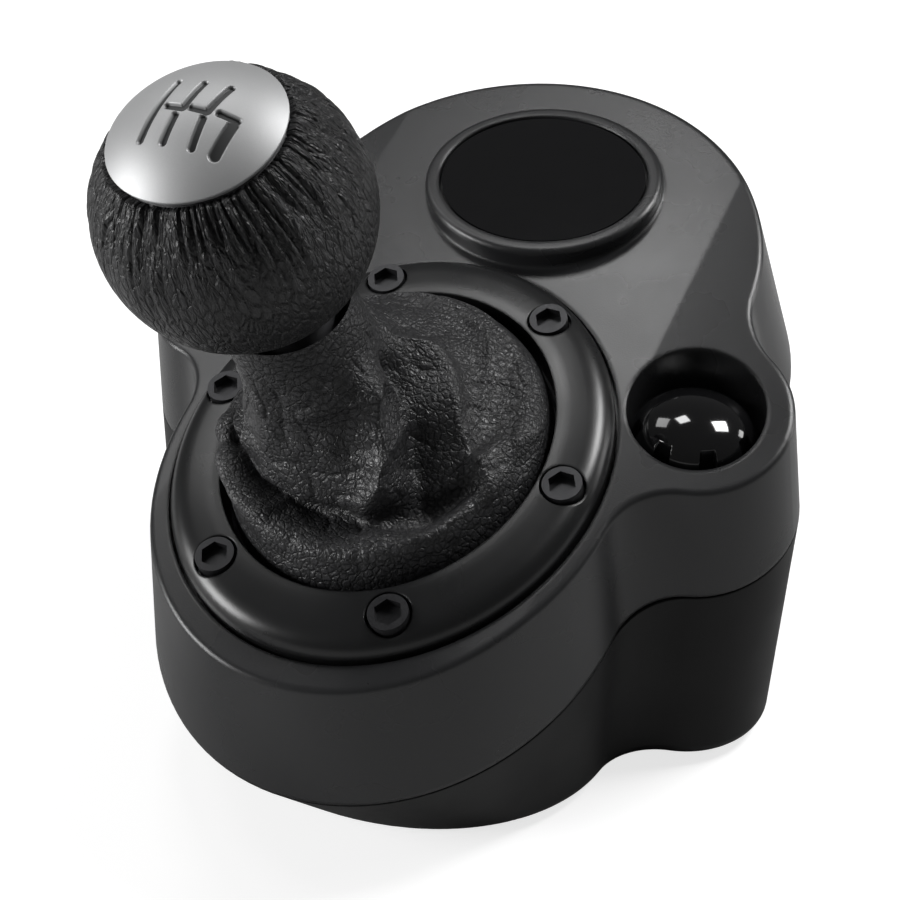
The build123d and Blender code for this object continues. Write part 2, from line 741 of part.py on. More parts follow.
# Pins that the yoke swings on from side to side
with BuildPart() as select_pins:
    for end in (-1, 1):
        pin_plane = Plane(origin=pivot, x_dir=(1, 0, 0), z_dir=gimbal.y_dir * end)
        with BuildSketch(pin_plane.offset(yoke_length / 2 - yoke_bar_end)):
            Circle(pin_radius)
        extrude(amount=yoke_bar_end + (frame_length - yoke_length) / 2)
select_pins.part.label = "select_pins"
export_step(select_pins.part, "parts/select_pins.step")

# Yoke: an open frame that carries the lever's cradle
with BuildPart() as select_yoke:
    with BuildSketch(lever.offset(-yoke_height / 2)):
        RectangleRounded(yoke_width, yoke_length, yoke_bar_side / 2)
        Rectangle(yoke_width - 2 * yoke_bar_side, yoke_length - 2 * yoke_bar_end, mode=Mode.SUBTRACT)
    extrude(amount=yoke_height)
    with Locations(lever * Location((0, 0, 0), (90, 0, 0))):
        Hole(pin_radius + running_gap)
    with Locations(lever * Location((0, 0, 0), (0, 90, 0))):
        Hole(pin_radius + snug_gap)
select_yoke.part.label = "select_yoke"
export_step(select_yoke.part, "parts/select_yoke.step")

# Pins that the cradle swings on, to and from the driver
with BuildPart() as shift_pins:
    for end in (-1, 1):
        pin_plane = Plane(origin=pivot, x_dir=lever.y_dir, z_dir=lever.x_dir * end)
        with BuildSketch(pin_plane.offset(rod_radius + wall)):
            Circle(pin_radius)
        extrude(amount=yoke_width / 2 - rod_radius - wall)
shift_pins.part.label = "shift_pins"
export_step(shift_pins.part, "parts/shift_pins.step")

# Cradle that holds the lever's foot
with BuildPart() as shift_cradle:
    with BuildSketch(lever.offset(-cradle_height / 2)):
        RectangleRounded(cradle_width, cradle_length, wall)
    extrude(amount=cradle_height)
    with Locations(lever * Location((0, 0, 0), (0, 90, 0))):
        Hole(pin_radius + running_gap)
    with BuildSketch(lever.offset(-cradle_height)):
        Circle(rod_radius + snug_gap)
    extrude(amount=2 * cradle_height, mode=Mode.SUBTRACT)
shift_cradle.part.label = "shift_cradle"
export_step(shift_cradle.part, "parts/shift_cradle.step")

# Lever rod, with its finger below and a collar that the spring stands on
with BuildPart() as shift_rod:
    with BuildSketch(lever.offset(-cradle_height / 2)):
        Circle(rod_radius)
    extrude(amount=cradle_height / 2 + rod_top)
    with BuildSketch(lever.offset(-finger_root)):
        Circle(finger_neck_radius)
    extrude(amount=finger_root - cradle_height / 2)
    with BuildSketch(lever.offset(-finger_reach)):
        Circle(finger_radius)
    extrude(amount=finger_reach - finger_root)
    with BuildSketch(lever.offset(cradle_height / 2)):
        Circle(sleeve_radius + spring_wire)
    extrude(amount=collar_height)
shift_rod.part.label = "shift_rod"
export_step(shift_rod.part, "parts/shift_rod.step")

# Reverse spring, wound round the rod under the sliding sleeve
with BuildPart() as reverse_spring:
    with BuildLine() as coil:
        Helix(spring_pitch, spring_length, spring_radius, center=pivot + lever_along * spring_bottom,
              direction=lever_along)
    with BuildSketch(Plane(origin=coil.line @ 0, z_dir=coil.line % 0)):
        Circle(spring_wire / 2)
    sweep(path=coil.line)
reverse_spring.part.label = "reverse_spring"
export_step(reverse_spring.part, "parts/reverse_spring.step")

# Sleeve that slides on the rod when the knob is pushed down
with BuildPart() as rod_sleeve:
    with BuildSketch(lever.offset(sleeve_bottom)):
        Circle(sleeve_radius)
        Circle(rod_radius + running_gap, mode=Mode.SUBTRACT)
    extrude(amount=sleeve_top - sleeve_bottom)
rod_sleeve.part.label = "rod_sleeve"
export_step(rod_sleeve.part, "parts/rod_sleeve.step")

# Nut that fixes the knob on top of the sleeve
with BuildPart() as knob_nut:
    with BuildSketch(lever.offset(sleeve_top)):
        RegularPolygon(nut_radius, 6)
    extrude(amount=nut_height)
knob_nut.part.label = "knob_nut"
export_step(knob_nut.part, "parts/knob_nut.step")

# Knob core: a ball with a short neck, flat on top under the cap
with BuildPart() as knob_core:
    with Locations(lever * Location((0, 0, ball_distance))):
        Sphere(ball_radius - leather_thickness)
    with BuildSketch(lever.offset(ball_distance - ball_radius - knob_neck_drop)):
        Circle(knob_neck_radius)
    extrude(amount=ball_radius)
    split(bisect_by=crown.offset(cap_base), keep=Keep.BOTTOM)
    with BuildSketch(lever.offset(ball_distance - 2 * ball_radius)):
        Circle(sleeve_radius + snug_gap)
    extrude(amount=2 * ball_radius - ball_distance + sleeve_top, mode=Mode.SUBTRACT)
    with BuildSketch(lever.offset(sleeve_top)):
        RegularPolygon(nut_radius + snug_gap, 6)
    extrude(amount=2 * ball_radius, mode=Mode.SUBTRACT)
knob_core.part.label = "knob_core"
export_step(knob_core.part, "parts/knob_core.step")

# Leather skin stretched over the core
with BuildPart() as knob_leather:
    with Locations(lever * Location((0, 0, ball_distance))):
        Sphere(ball_radius)
        Sphere(ball_radius - leather_thickness, mode=Mode.SUBTRACT)
    split(bisect_by=crown.offset(cap_base - snug_gap), keep=Keep.BOTTOM)
    with BuildSketch(lever.offset(ball_distance - 2 * ball_radius)):
        Circle(knob_neck_radius + snug_gap)
    extrude(amount=2 * ball_radius, mode=Mode.SUBTRACT)
knob_leather.part.label = "knob_leather"
export_step(knob_leather.part, "parts/knob_leather.step")

# Satin cap let into the top of the knob
with BuildPart() as knob_cap:
    with Locations(lever * Location((0, 0, ball_distance))):
        Sphere(ball_radius)
    split(bisect_by=crown.offset(cap_base), keep=Keep.TOP)
knob_cap.part.label = "knob_cap"
export_step(knob_cap.part, "parts/knob_cap.step")

# Band that ties the boot's neck under the knob
with BuildPart() as boot_tie:
    with BuildSketch(lever.offset(deck_gap + boot_top_height + tie_lift)):
        Circle(boot_neck_radius + fit_gap + tie_thickness)
        Circle(boot_neck_radius + fit_gap, mode=Mode.SUBTRACT)
    extrude(amount=tie_height)
boot_tie.part.label = "boot_tie"
export_step(boot_tie.part, "parts/boot_tie.step")

# Position sensors at the ends of the two swing axes
with BuildPart() as select_sensor:
    with BuildSketch(Plane(origin=pivot, x_dir=(1, 0, 0), z_dir=gimbal.y_dir).offset(frame_length / 2)):
        Circle(sensor_radius)
    extrude(amount=sensor_depth)
select_sensor.part.label = "select_sensor"
export_step(select_sensor.part, "parts/select_sensor.step")

with BuildPart() as shift_sensor:
    with BuildSketch(Plane(origin=pivot, x_dir=lever.y_dir, z_dir=lever.x_dir).offset(yoke_width / 2)):
        Circle(sensor_radius)
    extrude(amount=sensor_depth)
shift_sensor.part.label = "shift_sensor"
export_step(shift_sensor.part, "parts/shift_sensor.step")

# Circuit board on its posts, behind the gimbal
with BuildPart() as circuit_board:
    with BuildSketch(Plane.XY.offset(board_height)):
        with Locations((0, board_y)):
            Rectangle(board_width, board_length)
        with Locations(*board_posts):
            Circle(small_screw_radius + snug_gap, mode=Mode.SUBTRACT)
    extrude(amount=board_thickness)
    with BuildSketch(Plane.XY.offset(board_height + board_thickness)):
        with Locations((-chip_size, board_y), (chip_size, board_y)):
            Rectangle(chip_size, chip_size)
    extrude(amount=chip_height)
    with BuildSketch(Plane.XY.offset(board_height + board_thickness)):
        with Locations((0, board_y + (board_length - plug_width) / 2)):
            Rectangle(plug_length, plug_width)
    extrude(amount=plug_height)
circuit_board.part.label = "circuit_board"
export_step(circuit_board.part, "parts/circuit_board.step")

with BuildPart() as board_screws:
    with BuildSketch(Plane.XY.offset(board_height + board_thickness)):
        with Locations(*board_posts):
            Circle(small_head_radius)
    extrude(amount=small_head_height)
    with BuildSketch(Plane.XY.offset(board_height + board_thickness)):
        with Locations(*board_posts):
            Circle(small_screw_radius)
    extrude(amount=-small_screw_length)
board_screws.part.label = "board_screws"
export_step(board_screws.part, "parts/board_screws.step")

# Gland in the rear wall, where the lead leaves
with BuildPart() as cable_gland:
    with BuildSketch(Plane.XZ.offset(-gland_back)):
        with Locations((0, gland_height)):
            Circle(gland_radius)
            Circle(gland_bore, mode=Mode.SUBTRACT)
    extrude(amount=gland_length)
    with BuildSketch(Plane.XZ.offset(-gland_back + gland_length)):
        with Locations((0, gland_height)):
            Circle(gland_flange_radius)
            Circle(gland_bore, mode=Mode.SUBTRACT)
    extrude(amount=wall)
cable_gland.part.label = "cable_gland"
export_step(cable_gland.part, "parts/cable_gland.step")

for side, hand in sides:
    clamp_x = side * ear_side
    knob_bottom = well_floor_height + knob_lift

    # Clamp knob: a domed cap with scooped finger grips
    with BuildPart() as clamp_knob:
        with BuildSketch(Plane.XZ.offset(-ear_y)):
            with BuildLine():
                crest = (clamp_x, knob_bottom + knob_side_height + knob_crown)
                rim_end = (clamp_x + knob_radius, knob_bottom + knob_side_height)
                Line((clamp_x, knob_bottom), (clamp_x + knob_radius, knob_bottom))
                Line((clamp_x + knob_radius, knob_bottom), rim_end)
                ThreePointArc(rim_end, dome_middle(clamp_x), crest)
                Line(crest, (clamp_x, knob_bottom))
            make_face()
        revolve(axis=Axis((clamp_x, ear_y, 0), (0, 0, 1)))
        circles = clamp_knob.edges().filter_by(GeomType.CIRCLE).filter_by(lambda e: e.is_closed)
        fillet(circles.sort_by(Axis.Z)[-1], knob_edge_round)
        with BuildSketch(Plane.XY.offset(knob_bottom)):
            with Locations((clamp_x, ear_y)):
                with PolarLocations(knob_radius, knob_notch_count):
                    Circle(knob_notch_radius)
        extrude(amount=knob_notch_height, mode=Mode.SUBTRACT)
        with BuildSketch(Plane.XY.offset(knob_bottom)):
            with Locations((clamp_x, ear_y)):
                Circle(clamp_screw_radius + snug_gap)
        extrude(amount=knob_socket_depth, mode=Mode.SUBTRACT)
    clamp_knob.part.label = f"clamp_knob_{hand}"
    export_step(clamp_knob.part, f"parts/clamp_knob_{hand}.step")

    # Lead screw under the knob
    with BuildPart() as clamp_screw:
        with BuildSketch(Plane.XY.offset(clamp_screw_bottom)):
            with Locations((clamp_x, ear_y)):
                Circle(clamp_screw_radius)
        extrude(amount=knob_bottom + knob_socket_depth - fit_gap - clamp_screw_bottom)
    clamp_screw.part.label = f"clamp_screw_{hand}"
    export_step(clamp_screw.part, f"parts/clamp_screw_{hand}.step")

    # Clip that keeps the screw from lifting out of its well
    with BuildPart() as screw_clip:
        with BuildSketch(Plane.XY.offset(well_floor_height - well_floor - fit_gap - clip_thickness)):
            with Locations((clamp_x, ear_y)):
                Circle(clip_radius)
                Circle(clamp_screw_radius + snug_gap, mode=Mode.SUBTRACT)
        extrude(amount=clip_thickness)
    screw_clip.part.label = f"screw_clip_{hand}"
    export_step(screw_clip.part, f"parts/screw_clip_{hand}.step")

    # Clamp jaw: a square column that climbs on the screw, with an arm that grips the desk from below
    with BuildPart() as clamp_jaw:
        with BuildSketch(Plane.XY.offset(foot_height + jaw_rise)):
            add(arm_outline(side, 0))
        extrude(amount=jaw_thickness)
        with BuildSketch(Plane.XY.offset(foot_height + jaw_rise)):
            with Locations((clamp_x, ear_y)):
                RectangleRounded(column_size, column_size, column_round)
        extrude(amount=column_top - foot_height - jaw_rise)
        with BuildSketch(Plane.XY.offset(foot_height)):
            with Locations((clamp_x, ear_y)):
                Circle(clamp_screw_radius + running_gap)
        extrude(amount=column_top, mode=Mode.SUBTRACT)
        with BuildSketch(Plane.XY.offset(foot_height)):
            with Locations((clamp_x, ear_y)):
                Circle(clamp_screw_radius + bore_relief)
        extrude(amount=column_top - foot_height - nut_zone, mode=Mode.SUBTRACT)
    clamp_jaw.part.label = f"clamp_jaw_{hand}"
    export_step(clamp_jaw.part, f"parts/clamp_jaw_{hand}.step")

    # Rubber pad on the jaw's arm
    with BuildPart() as jaw_pad:
        with BuildSketch(Plane.XY.offset(foot_height + jaw_rise + jaw_thickness)):
            with Locations((side * (ear_side - jaw_inset), ear_y + jaw_back)):
                Circle(jaw_tip_radius - pad_inset)
        extrude(amount=pad_thickness)
    jaw_pad.part.label = f"jaw_pad_{hand}"
    export_step(jaw_pad.part, f"parts/jaw_pad_{hand}.step")
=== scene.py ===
# %% [markdown]
# # A desk-clamped gear shifter
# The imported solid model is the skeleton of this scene. Each cell below dresses one piece of it:
# hard moulded parts keep their solid and get a detailed material, and the leather, the knob's cap,
# the clamp knobs and the springs are drawn anew as surfaces worked out from formulas. The scene is
# in metres, +Z up, +Y away from the driver.

# %% Load the frame
import math

import bpy
import numpy as np
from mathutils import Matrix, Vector


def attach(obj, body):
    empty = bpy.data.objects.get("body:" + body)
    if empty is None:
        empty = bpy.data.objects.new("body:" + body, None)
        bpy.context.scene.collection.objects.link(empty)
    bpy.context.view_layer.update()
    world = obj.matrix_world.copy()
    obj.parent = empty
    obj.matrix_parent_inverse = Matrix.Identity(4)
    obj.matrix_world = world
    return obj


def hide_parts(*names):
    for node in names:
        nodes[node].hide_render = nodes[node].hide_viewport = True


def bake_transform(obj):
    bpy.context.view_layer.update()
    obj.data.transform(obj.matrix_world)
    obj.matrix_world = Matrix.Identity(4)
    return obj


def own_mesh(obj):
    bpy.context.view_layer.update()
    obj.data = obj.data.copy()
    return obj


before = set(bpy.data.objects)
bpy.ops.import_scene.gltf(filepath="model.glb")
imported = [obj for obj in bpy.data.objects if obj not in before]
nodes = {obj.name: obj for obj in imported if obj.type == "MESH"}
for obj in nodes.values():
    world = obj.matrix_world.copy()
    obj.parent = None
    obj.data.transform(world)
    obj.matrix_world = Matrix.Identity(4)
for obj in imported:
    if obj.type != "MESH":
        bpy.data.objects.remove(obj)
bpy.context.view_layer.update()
print("solid pieces:", len(nodes))

# %% [markdown]
# ## Two tilted frames
# The deck slopes 21 degrees up towards the back, and the lever leans 7.8 degrees to the left of the
# deck's normal. Shapes are easier to draw square to those two directions, so the next cell holds
# both sets of axes, and a function that carries points from them into the scene. Shapes are worked
# out in millimetres, and that function makes them metres. Materials are in metres from the start.

# %% Axes of the deck and of the lever
MM = 0.001
slope, lean = math.radians(21.0), math.radians(7.8)
deck_x = np.array([1.0, 0.0, 0.0])
deck_y = np.array([0.0, math.cos(slope), math.sin(slope)])
deck_z = np.array([0.0, -math.sin(slope), math.cos(slope)])
lever_x = math.cos(lean) * deck_x + math.sin(lean) * deck_z
lever_z = math.cos(lean) * deck_z - math.sin(lean) * deck_x
ring_centre = np.array([0.0, -29.581, 65.3])  # middle of the bezel ring, on the deck
pivot = np.array([0.0, -19.281, 29.701])  # where the lever's two hinges cross
ball_height = 102.9  # from the pivot up to the middle of the ball
ball_centre = pivot + ball_height * lever_z


def placed(local, origin, x_axis, y_axis, z_axis):
    """Local millimetre points times the three axes, plus the origin, in metres."""
    return (origin + local @ np.array([x_axis, y_axis, z_axis])) * MM


print("ball centre, mm:", ball_centre.round(1))

# %% [markdown]
# ## From a grid to a mesh
# A surface is a grid of points: rows go along the piece and columns go round it. Neighbouring
# points make four-sided faces, and where the surface closes on itself the last column joins the
# first. An open end is closed by a fan of triangles round the middle of its last row.


# %% Grid helper
def grid_mesh(name, points, material, wrap=True, cap_first=False, cap_last=False):
    """Joins a (rows, columns, 3) array into quads, and closes a capped end with triangles."""
    rows, columns = points.shape[:2]
    index = np.arange(rows * columns).reshape(rows, columns)
    right = np.roll(index, -1, axis=1) if wrap else index[:, 1:]
    left = index if wrap else index[:, :-1]
    quads = np.stack([left[:-1], right[:-1], right[1:], left[1:]], axis=-1)
    faces = quads.reshape(-1, 4).tolist()
    corners = points.reshape(-1, 3)
    for capped, row in ((cap_first, 0), (cap_last, rows - 1)):
        if capped:
            edges = np.stack([index[row], np.roll(index[row], -1)], axis=-1)
            if row == 0:
                edges = edges[:, ::-1]
            faces += np.column_stack([edges, np.full(columns, len(corners))]).tolist()
            corners = np.vstack([corners, points[row].mean(axis=0)])
    mesh = bpy.data.meshes.new(name)
    mesh.from_pydata(corners.tolist(), [], faces)
    mesh.polygons.foreach_set("use_smooth", np.ones(len(mesh.polygons), bool))
    mesh.update()
    piece = bpy.data.objects.new(name, mesh)
    bpy.context.scene.collection.objects.link(piece)
    mesh.materials.append(material)
    print(name, "faces:", len(mesh.polygons))
    return piece


# %% [markdown]
# ## Smooth random wrinkles
# Leather never repeats, so its wrinkles come from value noise: random numbers on a coarse lattice,
# joined by smooth curves. The lattice wraps round the piece, and a fixed seed gives the same
# wrinkles on every run. Noise on its own is soft and rolling. Folded about its middle value, it
# gives the sharp crests of pleats and creases.


# %% Wrapping noise
def ease(t):
    """Smooth rise from 0 to 1: 3t^2 - 2t^3."""
    return t * t * (3 - 2 * t)


def step(low, high, value):
    """0 up to low, 1 from high on, and the smooth rise between them."""
    return ease(np.clip((value - low) / (high - low), 0, 1))


def wrap_noise(around, along, cells_around, cells_along, seed):
    """Random lattice values joined by smooth rises; both places run 0..1, and around wraps."""
    table = np.random.default_rng(seed).random((cells_around, cells_along + 2))
    a = (around % 1.0) * cells_around
    b = np.clip(along, 0, 1) * cells_along
    a0, b0 = np.floor(a).astype(int), np.floor(b).astype(int)
    part_a, part_b = ease(a - a0), ease(b - b0)
    a1 = (a0 + 1) % cells_around
    a0 = a0 % cells_around
    b1 = np.minimum(b0 + 1, cells_along + 1)
    low = table[a0, b0] * (1 - part_a) + table[a1, b0] * part_a
    high = table[a0, b1] * (1 - part_a) + table[a1, b1] * part_a
    return low * (1 - part_b) + high * part_b


def ridged(noise):
    """Noise folded about its middle value, so that it has sharp crests: 1 - |2n - 1|."""
    return 1 - np.abs(2 * noise - 1)


# %% [markdown]
# ## Materials
# Each finish is a small network of nodes: a shader for the broad look, noise for the variation in
# its gloss, and a bump for the grain. Patterns read Object coordinates, or a place that is kept in
# the mesh in metres, so they keep their size wherever the piece goes.


# %% Node helpers
NOISE_LOW, NOISE_HIGH = 0.3, 0.7  # nearly all the values of a noise node lie between these


def new_material(name, colour, roughness, metallic=0.0, specular=0.5):
    """A material with one shader whose plain values are set on its own sockets."""
    material = bpy.data.materials.new(name)
    material.use_nodes = True
    shader = material.node_tree.nodes["Principled BSDF"]
    shader.inputs["Base Color"].default_value = (*colour, 1.0)
    shader.inputs["Roughness"].default_value = roughness
    shader.inputs["Metallic"].default_value = metallic
    shader.inputs["Specular IOR Level"].default_value = specular
    return material, material.node_tree, shader


def add_node(tree, kind, **values):
    """Adds a node and sets its inputs by name, with _ for a blank."""
    node = tree.nodes.new(kind)
    for key, value in values.items():
        node.inputs[key.replace("_", " ")].default_value = value
    return node


def coordinates(tree):
    """The place on the object, in metres."""
    return tree.nodes.new("ShaderNodeTexCoord").outputs["Object"]


def ramp(tree, value, low, high, from_low=0.0, from_high=1.0):
    """Stretches from_low..from_high to low..high in a straight line, and holds it at both ends."""
    node = add_node(tree, "ShaderNodeMapRange", From_Min=from_low, From_Max=from_high,
                    To_Min=low, To_Max=high)
    tree.links.new(value, node.inputs["Value"])
    return node.outputs["Result"]


def bump(tree, height, distance, below=None):
    """Tilts the light by a height of so many metres, over another bump if one lies below."""
    node = add_node(tree, "ShaderNodeBump", Distance=distance, Strength=1.0)
    tree.links.new(height, node.inputs["Height"])
    if below is not None:
        tree.links.new(below, node.inputs["Normal"])
    return node.outputs["Normal"]


def tint(tree, factor, dark, light):
    """dark (1 - factor) + light factor. A colour mix has its colours in sockets 6 and 7."""
    node = tree.nodes.new("ShaderNodeMix")
    node.data_type = "RGBA"
    node.inputs[6].default_value = (*dark, 1.0)
    node.inputs[7].default_value = (*light, 1.0)
    tree.links.new(factor, node.inputs[0])
    return node.outputs[2]


# %% [markdown]
# ## Moulded plastic
# The base is injection moulded with a fine spark-eroded texture: tiny soft bumps about a third of a
# millimetre wide, slightly paler on their tops as a painted highlight, and a gloss that drifts over
# a centimetre or two. A bevel node rounds the solid's sharp edges in the light, which saves
# re-cutting every edge.


# %% Plastic finishes
gloss_patches = 60.0  # in a metre
bevel_samples = 6


def moulded_plastic(name, dark, light, rough_low, rough_high,
                    grain=0.00028, depth=0.00002, edge=0.0006, shine=0.5):
    """Fine noise for colour and height, broad noise for gloss, and edges rounded to a radius."""
    material, tree, shader = new_material(name, dark, rough_low, specular=shine)
    place = coordinates(tree)
    fine = add_node(tree, "ShaderNodeTexNoise", Scale=1.0 / grain, Detail=2.0, Roughness=0.6)
    broad = add_node(tree, "ShaderNodeTexNoise", Scale=gloss_patches, Detail=3.0, Roughness=0.5)
    for node in (fine, broad):
        tree.links.new(place, node.inputs["Vector"])
    # Painted highlight: the noise that raises the bumps also pales their colour, so their tops are
    # lighter.
    colour = tint(tree, fine.outputs["Fac"], dark, light)
    gloss = ramp(tree, broad.outputs["Fac"], rough_low, rough_high, NOISE_LOW, NOISE_HIGH)
    rounded = add_node(tree, "ShaderNodeBevel", Radius=edge)
    rounded.samples = bevel_samples
    grained = bump(tree, fine.outputs["Fac"], depth, rounded.outputs["Normal"])
    tree.links.new(colour, shader.inputs["Base Color"])
    tree.links.new(gloss, shader.inputs["Roughness"])
    tree.links.new(grained, shader.inputs["Normal"])
    return material


cover_finish = moulded_plastic(
    "cover satin", (0.016, 0.0162, 0.017), (0.023, 0.0233, 0.0245), 0.26, 0.30, edge=0.0012)
housing_finish = moulded_plastic(
    "housing satin", (0.004, 0.004, 0.0042), (0.007, 0.007, 0.0073), 0.42, 0.52, shine=0.28)
bezel_finish = moulded_plastic(
    "bezel satin", (0.008, 0.0082, 0.0086), (0.013, 0.0132, 0.0137), 0.26, 0.33, depth=0.00001)
frame_finish = moulded_plastic(
    "glass-filled plastic", (0.08, 0.08, 0.085), (0.11, 0.11, 0.115), 0.5, 0.66)
sensor_finish = moulded_plastic(
    "sensor plastic", (0.015, 0.022, 0.05), (0.02, 0.03, 0.065), 0.45, 0.55)
board_finish = moulded_plastic(
    "lacquered board", (0.012, 0.09, 0.035), (0.016, 0.11, 0.045), 0.22, 0.30)
rubber_finish = moulded_plastic(
    "matt rubber", (0.014, 0.014, 0.014), (0.02, 0.02, 0.02), 0.62, 0.75, grain=0.0004)
print("materials so far:", len(bpy.data.materials))

# %% [markdown]
# ## Gloss black and metal
# The badge disc and the clamp knobs are polished. Real polish isn't perfect, so a faint ripple a
# few millimetres wide keeps the reflections from looking drawn with a ruler. The metals share one
# network: a fine grain that varies the colour, the gloss and the height. The blackened screws and
# the cap's satin coat are set less than fully metallic, because a coat hides part of the metal.


# %% Gloss and metal finishes
ripples = 220.0  # in a metre
dullest = 1.6  # times the roughness, where the polish is at its dullest
coat_weight, coat_roughness = 0.6, 0.03


def polished(name, colour, roughness, ripple=0.000004):
    """A clear coat over a plain colour, with one noise that ripples the height and the gloss."""
    material, tree, shader = new_material(name, colour, roughness, specular=0.6)
    shader.inputs["Coat Weight"].default_value = coat_weight
    shader.inputs["Coat Roughness"].default_value = coat_roughness
    wave = add_node(tree, "ShaderNodeTexNoise", Scale=ripples, Detail=1.0)
    tree.links.new(coordinates(tree), wave.inputs["Vector"])
    gloss = ramp(tree, wave.outputs["Fac"], roughness, roughness * dullest)
    tree.links.new(gloss, shader.inputs["Roughness"])
    tree.links.new(bump(tree, wave.outputs["Fac"], ripple), shader.inputs["Normal"])
    return material


def metal(name, dark, light, rough_low, rough_high, scale, depth, metallic=1.0):
    """One noise, with so many grains in a metre, for the colour, the gloss and the height."""
    material, tree, shader = new_material(name, dark, rough_low, metallic)
    grain = add_node(tree, "ShaderNodeTexNoise", Scale=scale, Detail=3.0, Roughness=0.65)
    tree.links.new(coordinates(tree), grain.inputs["Vector"])
    colour = tint(tree, grain.outputs["Fac"], dark, light)
    gloss = ramp(tree, grain.outputs["Fac"], rough_low, rough_high, NOISE_LOW, NOISE_HIGH)
    tree.links.new(colour, shader.inputs["Base Color"])
    tree.links.new(gloss, shader.inputs["Roughness"])
    tree.links.new(bump(tree, grain.outputs["Fac"], depth), shader.inputs["Normal"])
    return material


badge_finish = polished("badge gloss", (0.004, 0.004, 0.0045), 0.05)
knob_finish = polished("clamp knob gloss", (0.005, 0.005, 0.0055), 0.07)
cap_finish = metal(
    "cap satin", (0.44, 0.443, 0.447), (0.52, 0.523, 0.527), 0.50, 0.56,
    scale=4200.0, depth=0.000012, metallic=0.55)
screw_finish = metal(
    "black oxide", (0.028, 0.028, 0.030), (0.055, 0.055, 0.058), 0.34, 0.50,
    scale=2500.0, depth=0.00001, metallic=0.6)
steel_finish = metal(
    "turned steel", (0.50, 0.50, 0.51), (0.60, 0.60, 0.61), 0.25, 0.40,
    scale=1800.0, depth=0.000008)
spring_finish = metal(
    "spring wire", (0.36, 0.36, 0.38), (0.46, 0.46, 0.48), 0.25, 0.38,
    scale=2600.0, depth=0.000006)
brass_finish = metal(
    "brass", (0.56, 0.40, 0.14), (0.66, 0.48, 0.18), 0.25, 0.40,
    scale=1500.0, depth=0.000008)
print("materials so far:", len(bpy.data.materials))

# %% [markdown]
# ## Leather
# Pebbled leather is a web of creases round raised cells. A Voronoi pattern gives the cells: the
# distance to the nearest cell edge is the height, so creases are sharp and cells are domed. Noise
# pushes the pattern about first, because real cells aren't straight sided. Smaller cells and pores
# are laid over it, each with a share of its depth.


# %% Leather finish
cell_layers = ((1.0, 0.22), (2.3, 0.25))  # how much finer, and how far in a cell's top is flat
small_share, pore_share = 0.35, 0.2  # of the large cells' depth
drifts, pores_across = 0.45, 9.0  # in the width of a large cell


def leather(name, dark, light, cell, depth, rough_low, rough_high, push=0.35, attribute=None):
    """Cell height = distance to the nearest Voronoi edge, on a place moved by noise, plus pores.

    push is how far the noise moves it, in cells. attribute names a place kept in the mesh, which
    is read instead of Object coordinates.
    """
    material, tree, shader = new_material(name, dark, rough_low, specular=0.45)
    if attribute:
        reader = tree.nodes.new("ShaderNodeAttribute")
        reader.attribute_name = attribute
        place = reader.outputs["Vector"]
    else:
        place = coordinates(tree)
    drift = add_node(tree, "ShaderNodeTexNoise", Scale=drifts / cell, Detail=2.0)
    pores = add_node(tree, "ShaderNodeTexNoise", Scale=pores_across / cell, Detail=2.0,
                     Roughness=0.6)
    for node in (drift, pores):
        tree.links.new(place, node.inputs["Vector"])
    shifted = tree.nodes.new("ShaderNodeVectorMath")
    shifted.operation = "MULTIPLY_ADD"
    tree.links.new(drift.outputs["Color"], shifted.inputs[0])
    shifted.inputs[1].default_value = (push * cell * 2,) * 3
    tree.links.new(place, shifted.inputs[2])
    heights = []
    for finer, flat_top in cell_layers:
        cells = add_node(tree, "ShaderNodeTexVoronoi", Scale=finer / cell)
        cells.feature = "DISTANCE_TO_EDGE"
        tree.links.new(shifted.outputs[0], cells.inputs["Vector"])
        heights.append(ramp(tree, cells.outputs["Distance"], 0.0, 1.0, 0.0, flat_top))
    large, small = heights
    # Painted shade and highlight: the colour is dark in the creases and light on the cells' tops.
    tree.links.new(tint(tree, large, dark, light), shader.inputs["Base Color"])
    tree.links.new(ramp(tree, large, rough_high, rough_low), shader.inputs["Roughness"])
    relief = bump(tree, large, depth)
    relief = bump(tree, small, depth * small_share, relief)
    relief = bump(tree, pores.outputs["Fac"], depth * pore_share, relief)
    tree.links.new(relief, shader.inputs["Normal"])
    return material


boot_finish = leather(
    "boot leather", (0.010, 0.010, 0.0105), (0.034, 0.034, 0.036),
    cell=0.0014, depth=0.00013, rough_low=0.30, rough_high=0.46)
ball_finish = leather(
    "knob leather", (0.007, 0.007, 0.0074), (0.021, 0.021, 0.0222),
    cell=0.0014, depth=0.00024, rough_low=0.32, rough_high=0.50, push=0.6, attribute="grain_space")
print("materials so far:", len(bpy.data.materials))

# %% [markdown]
# ## Dress the solid pieces
# The solids that already have the right shape keep it, and only their material changes. The table
# pairs each node with its finish, and a node that isn't in it is turned steel.

# %% Assign materials to the solids
finishes = {
    "top_cover": cover_finish, "lower_housing": housing_finish, "bezel_ring": bezel_finish,
    "bezel_screws": screw_finish, "case_screws": screw_finish, "badge_disc": badge_finish,
    "rubber_feet": rubber_finish, "cable_gland": rubber_finish, "boot_tie": rubber_finish,
    "jaw_pad_left": rubber_finish, "jaw_pad_right": rubber_finish, "rig_inserts": brass_finish,
    "boot_retainer": frame_finish, "gimbal_frame": frame_finish, "select_yoke": frame_finish,
    "shift_cradle": frame_finish, "knob_core": frame_finish, "select_sensor": sensor_finish,
    "shift_sensor": sensor_finish, "circuit_board": board_finish, "side_springs": spring_finish,
    "reverse_spring": spring_finish, "screw_clip_left": spring_finish,
    "screw_clip_right": spring_finish, "clamp_jaw_left": housing_finish,
    "clamp_jaw_right": housing_finish,
}
for name, node in nodes.items():
    node.data.materials.clear()
    node.data.materials.append(finishes.get(name, steel_finish))
print("dressed:", len(nodes))

